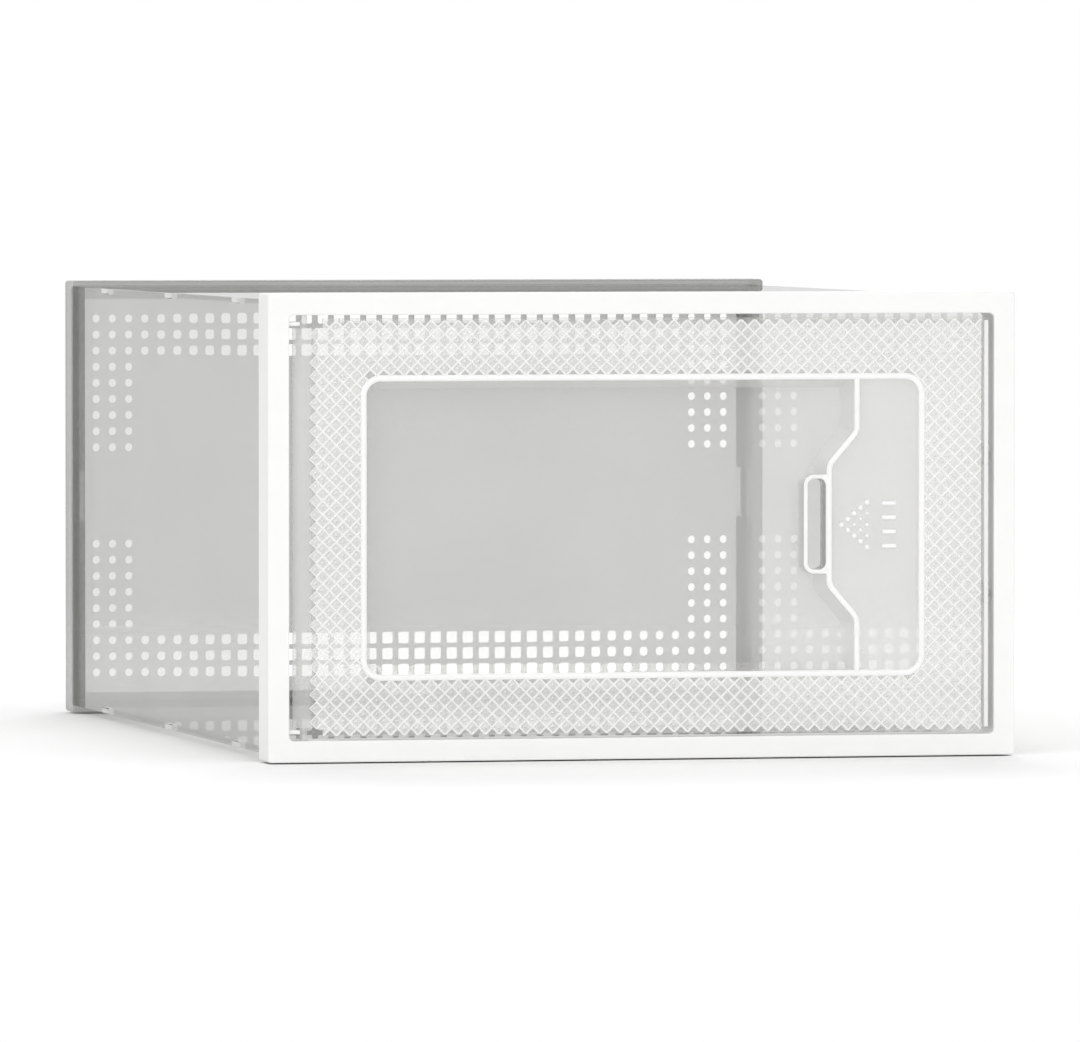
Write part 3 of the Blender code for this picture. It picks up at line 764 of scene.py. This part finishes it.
def tray_loop(inset, y):
    return box_loop(inset, y, 1.0 if inset < 3 else 1.2)


def tray_shell():
    """The rim and the vented plate welded along TRAY_EDGE."""
    inner_y = BACK - BACK_WALL
    # the open ends' arcs (5 points each) give way to the exact end points
    profile = rounded(
        [(TRAY_EDGE, BACK), (0, BACK), (0, TRAY_FRONT), (LIP, TRAY_FRONT), (LIP, inner_y),
         (TRAY_EDGE, inner_y)], [0.05, 0.8, 0.35, 0.35, 0.5, 0.05], 4)[5:-5]
    profile = [(TRAY_EDGE, BACK), *profile, (TRAY_EDGE, inner_y)]
    rim = swept("tray_rim", profile, tray_loop, closed=False)
    outline = [(x, z) for x, _, z in tray_loop(TRAY_EDGE, 0)]
    plate = slab("tray_plate", [outline, *vent_loops()], inner_y, BACK)
    shape = bmesh.new()
    shape.from_mesh(plate)

    def on_rim(place):
        nearest = min(place.x + HALF_WIDTH, HALF_WIDTH - place.x, place.z, HEIGHT - place.z)
        return nearest < TRAY_EDGE + 0.5
    walls = [face for face in shape.faces
             if abs(face.normal.y) < 0.5 and all(on_rim(vert.co) for vert in face.verts)]
    bmesh.ops.delete(shape, geom=walls, context="FACES")
    shape.from_mesh(rim)
    bmesh.ops.remove_doubles(shape, verts=shape.verts, dist=2e-3)
    return mesh_from("back_tray", shape)


def make_back():
    tray = tray_shell()
    # locators stand in the notches of the panels' back flanges
    y0, y1 = PANEL_BACK - PANEL - 0.6, BACK - BACK_WALL + 0.9
    half = NOTCH_HALF - 0.6
    near, far = SIDE_FLANGE - NOTCH_DEEP + 0.4, SIDE_FLANGE - 0.3
    changes = []
    for sign in (-1, 1):
        x0, x1 = sorted((sign * (HALF_WIDTH - near), sign * (HALF_WIDTH - far)))
        changes.append(("UNION", block(
            "locator", (x0, y0, NOTCH_MID_Z - half), (x1, y1, NOTCH_MID_Z + half))))
    for z0, z1 in ((near, far), (HEIGHT - far, HEIGHT - near)):
        changes.append(("UNION", block("locator", (-half, y0, z0), (half, y1, z1))))

    def pick(centre, normal, *_):
        inset = LIP + 0.2
        inside = (abs(centre.x) < HALF_WIDTH - LIP - 0.2
                  and inset < centre.z < HEIGHT - LIP - 0.2)
        return TRAY if inside and abs(normal.y) > 0.5 else TRAY_RIM
    piece("back_tray", combined(tray, changes), [TRAY, TRAY_RIM], "box",
          ["back_panel"], pick, smooth=40)


# ---------------------------------------------------------------- door
DOOR_WALL, SKIRT_WALL = 1.8, 1.3
SKIRT_RIGHT = DOOR_RIGHT - SKIRT_WALL
SKIRT_LOW, SKIRT_HIGH = DOOR_LOW + SKIRT_WALL, DOOR_HIGH - SKIRT_WALL
BARREL_R, PIN_R, PIN_REACH = 3.3, 1.2, 2.7
HINGE_NOTCH_X, HINGE_NOTCH_Z = 5.5, 2.8  # corners cut away beside the pins
WINDOW_LEFT, WINDOW_RIGHT, WINDOW_LOW, WINDOW_HIGH = -85.7, 86.2, 25.1, 114.6
WINDOW_R = 5.3
BEAD, BEAD_PROUD = 1.9, 0.6
BEAD_SINK = 0.12                 # how far a bead's base lies behind the door's face
RECESS, DRAFT = 7.0, 2.4         # the window's depth and how far its walls lean in
RECESS_WALL = 1.9
SLOT_LEFT, SLOT_RIGHT, SLOT_LOW, SLOT_HIGH = 50.8, 56.7, 56.4, 83.8
SLOT_R, SLOT_COLLAR = 2.0, 1.2
NUB_R, NUB_PROUD = 1.7, 0.9

# the flap lies right of the window; its left edge bulges left at mid height
FLAP_X, FLAP_BULGE_X = 66.1, 57.5
FLAP_BEND_OUT, FLAP_BEND_IN, FLAP_R = 28.1, 18.1, 5.0
FLAP_EDGE = [
    (FLAP_X, MID_Z - FLAP_BEND_OUT),
    (FLAP_BULGE_X, MID_Z - FLAP_BEND_IN),
    (FLAP_BULGE_X, MID_Z + FLAP_BEND_IN),
    (FLAP_X, MID_Z + FLAP_BEND_OUT),
]


def recess_outline(inset):
    corners = [(WINDOW_LEFT, WINDOW_LOW), (FLAP_X, WINDOW_LOW), *FLAP_EDGE,
               (FLAP_X, WINDOW_HIGH), (WINDOW_LEFT, WINDOW_HIGH)]
    radii = [WINDOW_R - inset, 1.6 - inset / 2, FLAP_R - inset, FLAP_R + inset,
             FLAP_R + inset, FLAP_R - inset, 1.6 - inset / 2, WINDOW_R - inset]
    return rounded(moved_in(corners, inset), [max(radius, 0.2) for radius in radii], 8)


def skirt_hollow():
    """Cuts the back of the door, leaving a skirt on all sides but the hinge's."""
    start, left = PIVOT.x + 11.0, PIVOT.x - 10.0
    past_low, past_high = DOOR_LOW - 2.0, DOOR_HIGH + 2.0
    outline = rounded(
        [(left, past_low), (start, past_low), (start, SKIRT_LOW), (SKIRT_RIGHT, SKIRT_LOW),
         (SKIRT_RIGHT, SKIRT_HIGH), (start, SKIRT_HIGH), (start, past_high), (left, past_high)],
        [0.2, 0.2, 0.2, 1.0, 1.0, 0.2, 0.2, 0.2], 4)
    return [("DIFFERENCE", slab(
        "hollow", [outline], FACE + DOOR_WALL, FACE + DOOR_SKIRT + 2.0))]


def window_recess():
    """The tapered dish of the window: an outer body and the hollow cut from it."""
    mouth, foot = BEAD / 2, BEAD / 2 + DRAFT
    rim, base = recess_outline(mouth), recess_outline(foot)
    rim_out, base_out = recess_outline(mouth - RECESS_WALL), recess_outline(foot - RECESS_WALL)
    deep = RECESS + DOOR_WALL
    start, over = 0.9, 1.0       # body starts behind the face, cut starts before it
    return [
        ("UNION", loft("shell", between(rim_out, base_out, start / deep), base_out,
                       FACE + start, FACE + deep)),
        ("DIFFERENCE", loft("hollow", between(rim, base, -over / RECESS), base,
                            FACE - over, FACE + RECESS)),
    ]


def hinge_parts():
    """The barrel, and at each end a cut corner with a pin."""
    changes = [("UNION", rod(
        "barrel", BARREL_R, (PIVOT.x, PIVOT.y, DOOR_LOW + 0.5),
        (PIVOT.x, PIVOT.y, DOOR_HIGH - 0.5), sides=48, bevel=0))]
    for edge, opening, sign in ((DOOR_LOW, OPEN_LOW, -1), (DOOR_HIGH, OPEN_HIGH, 1)):
        z0, z1 = sorted((edge - sign * HINGE_NOTCH_Z, edge + sign * 3.0))
        changes.append(("DIFFERENCE", block(
            "corner", (PIVOT.x - 8.0, FRONT - 2.0, z0),
            (PIVOT.x + HINGE_NOTCH_X, FRONT + 20.0, z1), bevel=0)))
        changes.append(("UNION", rod(
            "pin", PIN_R, (PIVOT.x, PIVOT.y, edge - sign * (HINGE_NOTCH_Z + 2.0)),
            (PIVOT.x, PIVOT.y, opening + sign * PIN_REACH), sides=32, bevel=0.3)))
    return changes


def slot_parts():
    """The finger slot at the flap's bulge, with a collar round it."""
    collar = rounded(
        rectangle(SLOT_LEFT - SLOT_COLLAR, SLOT_RIGHT + 0.6,
                  SLOT_LOW - SLOT_COLLAR, SLOT_HIGH + SLOT_COLLAR),
        [SLOT_R + SLOT_COLLAR, 0.6, 0.6, SLOT_R + SLOT_COLLAR], 8)
    slot = rounded(rectangle(SLOT_LEFT, SLOT_RIGHT, SLOT_LOW, SLOT_HIGH), [SLOT_R] * 4, 8)
    return [
        ("UNION", slab("collar", [collar], FACE - 0.15, FACE + RECESS + 0.9)),
        ("DIFFERENCE", slab("slot", [slot], FACE - 2.0, FACE + RECESS + 6.0)),
    ]


def edge_nubs():
    x = DOOR_RIGHT + NUB_PROUD - NUB_R
    return [("UNION", rod(
        "nub", NUB_R, (x, FACE + 0.5, MID_Z + off), (x, FACE + DOOR_SKIRT - 0.4, MID_Z + off),
        sides=32, bevel=0.2)) for off in NUB_AT]


def door_material(centre, normal, least, most):
    flat = abs(normal.y) > 0.9
    reach = SLOT_COLLAR
    if (SLOT_LEFT - reach - 0.1 < least.x and most.x < SLOT_RIGHT + 0.7
            and SLOT_LOW - reach - 0.1 < least.z and most.z < SLOT_HIGH + reach + 0.1):
        if flat:
            return BEAD_WHITE if centre.y < FACE + 1 else DOOR
        in_hollow = (SLOT_LEFT - 0.1 < centre.x < SLOT_RIGHT + 0.1
                     and SLOT_LOW - 0.1 < centre.z < SLOT_HIGH + 0.1)
        # the slot's inner walls take the dark slot_wall tint, painted shade in the slot
        return POCKET if in_hollow else WALL
    if centre.x < PIVOT.x + 4.0:
        return BARREL
    if not flat:
        if (centre.x > SKIRT_RIGHT - 0.2 or centre.z < SKIRT_LOW + 0.2
                or centre.z > SKIRT_HIGH - 0.2):
            return EDGE
        return SILL if abs(normal.z) > 0.5 and abs(centre.z - WINDOW_LOW) < 5.0 else WALL
    over_flap = (FLAP_BULGE_X < centre.x < WINDOW_RIGHT
                 and WINDOW_LOW < centre.z < WINDOW_HIGH)
    return FLAP if over_flap and centre.y < FACE + DOOR_WALL + 0.1 else DOOR


def make_door_shell():
    outline = rounded(rectangle(PIVOT.x, DOOR_RIGHT, DOOR_LOW, DOOR_HIGH),
                      [0.3, 2.0, 2.0, 0.3], 8)
    plate = slab("door_shell", [outline], FACE, FACE + DOOR_SKIRT)
    changes = [*skirt_hollow(), *window_recess(), *hinge_parts(), *slot_parts(), *edge_nubs()]
    piece("door_shell", tidy(combined(plate, changes)),
          [DOOR, FLAP, WALL, BEAD_WHITE, EDGE, POCKET, BARREL, SILL], "door",
          ["door"], door_material)


# ---------------------------------------------------------------- beads on the door
def bead_loop(corner_radius, corners):
    def loop_at(inset, y):
        points = rounded(moved_in(corners, inset), [corner_radius - inset] * 4, 12)
        return [(x, y, z) for x, z in points]
    return loop_at


def arch(half_width, proud, base):
    """A half-round ridge as (offset, depth) points, standing proud of the door's face."""
    steps, sink = 8, 0.02
    points = [(-half_width, base)]
    for k in range(steps + 1):
        angle = math.pi * k / steps
        points.append((-half_width * math.cos(angle),
                       FACE + sink - (proud + sink) * math.sin(angle)))
    points.append((half_width, base))
    return points


def make_window_bead():
    corners = rectangle(WINDOW_LEFT, WINDOW_RIGHT, WINDOW_LOW, WINDOW_HIGH)
    profile = arch(BEAD / 2, BEAD_PROUD, FACE + BEAD_SINK)
    window = swept("window_bead", profile, bead_loop(WINDOW_R, corners))
    piece("window_bead", window, [BEAD_WHITE], "door")


def make_flap_bead():
    """The wavy bead along the flap's left edge, from one long side of the window bead to
    the other."""
    inset = BEAD / 2 - 0.25
    line = [(FLAP_X, WINDOW_LOW + inset), *FLAP_EDGE, (FLAP_X, WINDOW_HIGH - inset)]
    path = [Vector(line[0])]
    for before, here, after in zip(line, line[1:], line[2:]):
        path += corner_arc(before, here, after, FLAP_R, 8)
    path.append(Vector(line[-1]))
    profile = arch(BEAD / 2 * 0.86, BEAD_PROUD - 0.08, FACE + BEAD_SINK)
    shape = bmesh.new()
    rings = []
    for i, here in enumerate(path):
        before, after = path[max(i - 1, 0)], path[min(i + 1, len(path) - 1)]
        along = (after - before).normalized()
        side = Vector((along.y, -along.x))
        rings.append([shape.verts.new((here.x + side.x * offset, y, here.y + side.y * offset))
                      for offset, y in profile])
    for first, second in zip(rings, rings[1:]):
        bridge(shape, first, second)
    shape.faces.new(rings[0])
    shape.faces.new(list(reversed(rings[-1])))
    piece("flap_bead", mesh_from("flap_bead", shape), [BEAD_WHITE], "door")


def make_edge_ridge():
    """A fine ridge down the free edge."""
    ridge = block("edge_ridge", (DOOR_RIGHT - 1.35, FACE - 0.35, DOOR_LOW + 1.0),
                  (DOOR_RIGHT - 0.1, FACE + BEAD_SINK, DOOR_HIGH - 1.0), 0.16, 3)
    piece("edge_ridge", ridge, [RIB], "door")


def make_slot_lip():
    """A rounded lip round the mouth of the finger slot."""
    half = SLOT_COLLAR / 2
    mouth = rectangle(SLOT_LEFT - half, SLOT_RIGHT + 0.3, SLOT_LOW - half, SLOT_HIGH + half)
    narrow, sink = 0.9, 0.03
    profile = [(offset * narrow, y + sink)
               for offset, y in arch(0.62, BEAD_PROUD - 0.1, FACE + 0.1)]
    lip = swept("slot_lip", profile, bead_loop(SLOT_R + 0.75, mouth))
    piece("slot_lip", lip, [BEAD_WHITE], "door")


# ---------------------------------------------------------------- marks on the flap
MARK_SINK = 0.1                  # how far a mark's base lies behind the door's face
STUD_COLUMNS, STUD_PITCH_X, STUD_PITCH_Z = 5, 1.98, 3.37
STUD_TIP_X = 176.3 - HALF_WIDTH
OUTER_STUD, INNER_STUD = (0.72, 0.42), (0.5, 0.3)  # radius and height
BAR_LEFT, BAR_RIGHT = 188.8 - HALF_WIDTH, 193.3 - HALF_WIDTH
BAR_COUNT, BAR_PITCH, BAR_HALF, BAR_PROUD = 4, 4.3, 0.62, 0.34


def dome(shape, x, z, radius, proud):
    """A low round stud on the door's face, closed underneath."""
    sides, rings = 16, 4

    def ring(width, y):
        angles = [2 * math.pi * i / sides for i in range(sides)]
        return [shape.verts.new((x + width * math.cos(angle), y, z + width * math.sin(angle)))
                for angle in angles]
    base = ring(radius, FACE + MARK_SINK)
    last = base
    for k in range(rings):
        rise = math.pi / 2 * k / rings
        here = ring(radius * math.cos(rise), FACE - proud * math.sin(rise))
        bridge(shape, last, here)
        last = here
    tip = shape.verts.new((x, FACE - proud, z))
    for i in range(sides):
        shape.faces.new((last[i], last[(i + 1) % sides], tip))
    shape.faces.new(list(reversed(base)))


def make_flap_studs():
    """A wedge of raised studs that points left at the slot."""
    shape = bmesh.new()
    for column in range(STUD_COLUMNS):
        for k in range(column + 1):
            radius, proud = OUTER_STUD if k in (0, column) else INNER_STUD
            dome(shape, STUD_TIP_X + column * STUD_PITCH_X,
                 MID_Z + (k - column / 2) * STUD_PITCH_Z, radius, proud)
    piece("flap_studs", mesh_from("flap_studs", shape), [BEAD_WHITE], "door")


def make_flap_bars():
    """Plain raised bars, one above the other, right of the studs."""
    bars = []
    for k in range(BAR_COUNT):
        z = MID_Z + (k - (BAR_COUNT - 1) / 2) * BAR_PITCH
        bars.append(block("bar", (BAR_LEFT, FACE - BAR_PROUD, z - BAR_HALF),
                          (BAR_RIGHT, FACE + MARK_SINK, z + BAR_HALF), 0.3, 3))
    piece("flap_bars", joined("flap_bars", bars), [BEAD_WHITE], "door")


# ---------------------------------------------------------------- diamond lattice
CELL_X, CELL_Z = 2.07, 2.065     # half the pitch of the diamonds
LATTICE_X = -HALF_WIDTH + 12.7   # left tips
LATTICE_COLUMNS, LATTICE_ROWS = 100, 30  # in half pitches; rows count from mid height
INNER_COLUMNS, INNER_ROWS = (8, 91), 22  # the border round the window
RIB_RISE, HOLLOW_RISE, STUD_RISE = 0.42, 0.06, 0.30
RIB_HALF = 0.34
RIB_SHARE = RIB_HALF * math.sqrt(2) / CELL_X  # the rib's part of a quarter's reach
STUD_SHARE = 0.34                # the stud's part of it
UNDER_SINK = 0.08
RIBS, GROOVES, STUDS, PLAIN, UNDERSIDE = range(5)  # material slots


def inside_window(x, z):
    """How far a point lies inside the bead's centre line (negative outside)."""
    mid_x, mid_z = (WINDOW_LEFT + WINDOW_RIGHT) / 2, (WINDOW_LOW + WINDOW_HIGH) / 2
    past_x = abs(x - mid_x) - ((WINDOW_RIGHT - WINDOW_LEFT) / 2 - WINDOW_R)
    past_z = abs(z - mid_z) - ((WINDOW_HIGH - WINDOW_LOW) / 2 - WINDOW_R)
    if past_x > 0 and past_z > 0:
        return WINDOW_R - math.hypot(past_x, past_z)
    return WINDOW_R - max(past_x, past_z)


def in_hinge_corner(points):
    heights = [z for _, z in points]
    return min(x for x, _ in points) < PIVOT.x + HINGE_NOTCH_X - 0.3 and (
        min(heights) < DOOR_LOW + HINGE_NOTCH_Z - 0.5
        or max(heights) > DOOR_HIGH - HINGE_NOTCH_Z + 0.5)


def lattice_quarters():
    """Each kept quarter cell: its middle, its side tip, its upper or lower tip, whether its
    faces turn forwards, and whether a straight border cuts its diamond in half."""
    first, last = INNER_COLUMNS
    places = [(i, j) for i in range(1, LATTICE_COLUMNS + 1)
              for j in range(-LATTICE_ROWS, LATTICE_ROWS + 1) if (i + j) % 2]
    for i, j in places:
        x, z = LATTICE_X + i * CELL_X, MID_Z + j * CELL_Z
        border = abs(j) == LATTICE_ROWS or (abs(j) == INNER_ROWS and first < i < last)
        for side_x, side_z in ((-1, -1), (-1, 1), (1, -1), (1, 1)):
            if not (0 <= i + side_x <= LATTICE_COLUMNS and abs(j + side_z) <= LATTICE_ROWS):
                continue
            points = (x, z), (x + side_x * CELL_X, z), (x, z + side_z * CELL_Z)
            over = first < i + side_x / 3 < last and abs(j + side_z / 3) < INNER_ROWS
            if in_hinge_corner(points):
                continue
            if over and max(inside_window(*point) for point in points) > 0.75:
                continue
            yield *points, side_x * side_z > 0, border


def make_lattice():
    """Raised diamond net round the window. Each diamond is four quarter cells that share
    the ribs with their neighbours; a small four-sided stud stands in its middle."""
    shape = bmesh.new()
    cache = {}

    def vertex(x, z, rise):
        key = (round(x, 3), round(z, 3), round(rise, 3))
        if key not in cache:
            cache[key] = shape.verts.new((x, FACE - rise, z))
        return cache[key]

    top_faces = []
    for middle, side_tip, end_tip, forwards, border in lattice_quarters():
        def across(share, rise):
            """The two points a share of the way from the middle to the tips."""
            return [vertex(middle[0] + (tip[0] - middle[0]) * share,
                           middle[1] + (tip[1] - middle[1]) * share, rise)
                    for tip in (side_tip, end_tip)]
        ridge = [vertex(*tip, RIB_RISE) for tip in (side_tip, end_tip)]
        crest = across(1 - RIB_SHARE * 0.35, RIB_RISE)
        foot = across(1 - RIB_SHARE, HOLLOW_RISE)
        parts = [((*ridge, *reversed(crest)), RIBS), ((*crest, *reversed(foot)), RIBS)]
        if border:
            parts.append(((*foot, vertex(*middle, HOLLOW_RISE)), PLAIN))
        else:
            stud = across(STUD_SHARE, HOLLOW_RISE)
            parts.append(((*foot, *reversed(stud)), GROOVES))
            parts.append(((*stud, vertex(*middle, STUD_RISE)), STUDS))
        for ring, index in parts:
            face = shape.faces.new(ring if forwards else tuple(reversed(ring)))
            face.material_index = index
            top_faces.append(face)

    # close the net underneath, just behind the door's face
    under = {}
    for vert in list(shape.verts):
        under[vert] = shape.verts.new((vert.co.x, FACE + UNDER_SINK, vert.co.z))
    for face in top_faces:
        made = shape.faces.new([under[vert] for vert in reversed(face.verts)])
        made.material_index = UNDERSIDE
    for edge in list(shape.edges):
        start, end = edge.verts
        if len(edge.link_faces) == 1 and start in under and end in under:
            wall = shape.faces.new((start, end, under[end], under[start]))
            wall.material_index = RIBS
    mesh = mesh_from("door_lattice", shape)
    # setting the materials resets the faces' indices, so they are put back
    indices = [polygon.material_index for polygon in mesh.polygons]
    obj = piece("door_lattice", mesh, [RIB, CELL, FACET, HOLLOW, UNDER], "door",
                smooth=12)
    for polygon, index in zip(obj.data.polygons, indices):
        polygon.material_index = index


make_frame()
make_side_panel("left_panel", -1)
make_side_panel("right_panel", 1)
make_flat_panel("top_panel", True)
make_flat_panel("bottom_panel", False)
make_back()
make_door_shell()
make_window_bead()
make_flap_bead()
make_edge_ridge()
make_slot_lip()
make_flap_studs()
make_flap_bars()
make_lattice()
bpy.context.scene.collection.children.unlink(scratch)
bpy.data.collections.remove(scratch)


# ---------------------------------------------------------------- floor, light and camera (m)
def floor_material():
    """Pale paper that fades out away from the box; seen in mirrors it is painted a little darker, as
    painted shade in its reflections.
    """
    material, tree = new_material("floor_pale")
    tree.nodes.clear()
    where = node(tree, "TexCoord").outputs["Object"]
    length = node(tree, "VectorMath", operation="LENGTH")
    feed(tree, length, {0: where})
    fade = node(tree, "MapRange", {
        "From Min": 0.30, "From Max": 1.1, "Value": length.outputs["Value"],
    }, interpolation_type="SMOOTHSTEP")
    # painted shade: the paper is darker for mirror rays only, standing in for the shaded floor that
    # the panels reflect
    in_mirror = node(tree, "LightPath").outputs["Is Glossy Ray"]
    painted_mirror_shade = maths(tree, "SUBTRACT", 1.0, maths(tree, "MULTIPLY", in_mirror, 0.18))
    uneven = ranged(tree, noise(tree, scale=8.0), low=0.985, high=1.0)
    level = maths(tree, "MULTIPLY", uneven, painted_mirror_shade)
    paper = node(tree, "BsdfDiffuse", {"Color": tinted(tree, level, (0.96, 0.96, 0.96))})
    nothing = node(tree, "BsdfTransparent")
    mixed = mix_shaders(tree, fade.outputs["Result"], paper, nothing)
    node(tree, "OutputMaterial", {"Surface": mixed.outputs[0]})
    return material


def make_floor():
    shape = bmesh.new()
    bmesh.ops.create_circle(shape, cap_ends=True, segments=128, radius=3.2)
    for vert in shape.verts:
        vert.co.z = -0.0004      # just below the box
    mesh = bpy.data.meshes.new("floor")
    shape.to_mesh(mesh)
    shape.free()
    mesh.materials.append(floor_material())
    floor = bpy.data.objects.new("floor", mesh)
    bpy.context.scene.collection.objects.link(floor)


def make_world():
    """A white studio: full strength to the camera, softer as diffuse light, and for
    mirrors brighter above and slightly brighter in front."""
    world = bpy.data.worlds.new("studio")
    bpy.context.scene.world = world
    world.use_nodes = True
    tree = world.node_tree
    tree.nodes.clear()
    path = node(tree, "LightPath")
    where = node(tree, "TexCoord").outputs["Generated"]
    split = node(tree, "SeparateXYZ", {0: where})
    above = maths(tree, "MULTIPLY", split.outputs["Z"], 0.18)
    behind = maths(tree, "MULTIPLY", split.outputs["Y"], -0.03)
    studio = maths(tree, "ADD", maths(tree, "ADD", above, behind), 0.84)
    seen = node(tree, "Mix", {"Factor": path.outputs["Is Glossy Ray"], 2: 1.0, 3: studio},
                data_type="FLOAT")
    strength = node(tree, "Mix", {
        "Factor": path.outputs["Is Diffuse Ray"], 2: seen.outputs[0], 3: 0.80,
    }, data_type="FLOAT")
    light = node(tree, "Background", {
        "Color": (1.0, 1.0, 1.0, 1.0), "Strength": strength.outputs[0]})
    node(tree, "OutputWorld", {"Surface": light.outputs[0]})


def make_light(name, where, target, size, power):
    lamp = bpy.data.lights.new(name, "AREA")
    lamp.shape = "DISK"
    lamp.size = size
    lamp.energy = power
    obj = bpy.data.objects.new(name, lamp)
    obj.location = where
    obj.rotation_euler = (Vector(target) - Vector(where)).to_track_quat("-Z", "Y").to_euler()
    bpy.context.scene.collection.objects.link(obj)


def make_camera():
    """A camera at a fixed place, aimed and zoomed so that the box fills its width."""
    eye = Vector((-0.813, -3.6405, 0.186))
    sensor, fill = 36.0, 0.88    # sensor width in mm, and the part of it the box takes
    low, high = (Vector(corner) for corner in CAD_BOX)
    corners = [Vector((x, y, z))
               for x in (low.x, high.x) for y in (low.y, high.y) for z in (low.z, high.z)]
    aim = (low + high) / 2
    for _ in range(6):
        turn = (aim - eye).to_track_quat("-Z", "Y").to_matrix()
        seen = [turn.transposed() @ (corner - eye) for corner in corners]
        across = [point.x / -point.z for point in seen]
        upwards = [point.y / -point.z for point in seen]
        off = Vector(((min(across) + max(across)) / 2, (min(upwards) + max(upwards)) / 2, 0.0))
        aim += turn @ (off * (aim - eye).length)
    data = bpy.data.cameras.new("camera")
    data.sensor_width = sensor
    data.lens = sensor * fill / (max(across) - min(across))
    data.clip_start = 0.05
    data.clip_end = 60.0
    obj = bpy.data.objects.new("camera", data)
    obj.location = eye
    obj.rotation_euler = turn.to_euler()
    bpy.context.scene.collection.objects.link(obj)
    bpy.context.scene.camera = obj


def set_render():
    scene = bpy.context.scene
    scene.view_settings.view_transform = "Standard"
    scene.view_settings.look = "None"
    scene.view_settings.exposure = 0.0
    scene.view_settings.gamma = 1.0
    scene.cycles.transparent_max_bounces = 64
    scene.cycles.max_bounces = 10
    scene.cycles.glossy_bounces = 5
    scene.cycles.diffuse_bounces = 3
    scene.cycles.transmission_bounces = 6
    scene.cycles.caustics_reflective = False
    scene.cycles.caustics_refractive = False


make_floor()
make_world()
make_light("key", where=(-1.7, -2.4, 2.3), target=(0, 0, 0.05), size=1.6, power=13)
make_light("top_back", where=(0.25, 1.5, 2.1), target=(0, 0, 0.0), size=1.3, power=18)
make_light("front", where=(-0.2, -3.0, 1.1), target=(0, 0, 0.07), size=1.8, power=15)
make_camera()
set_render()
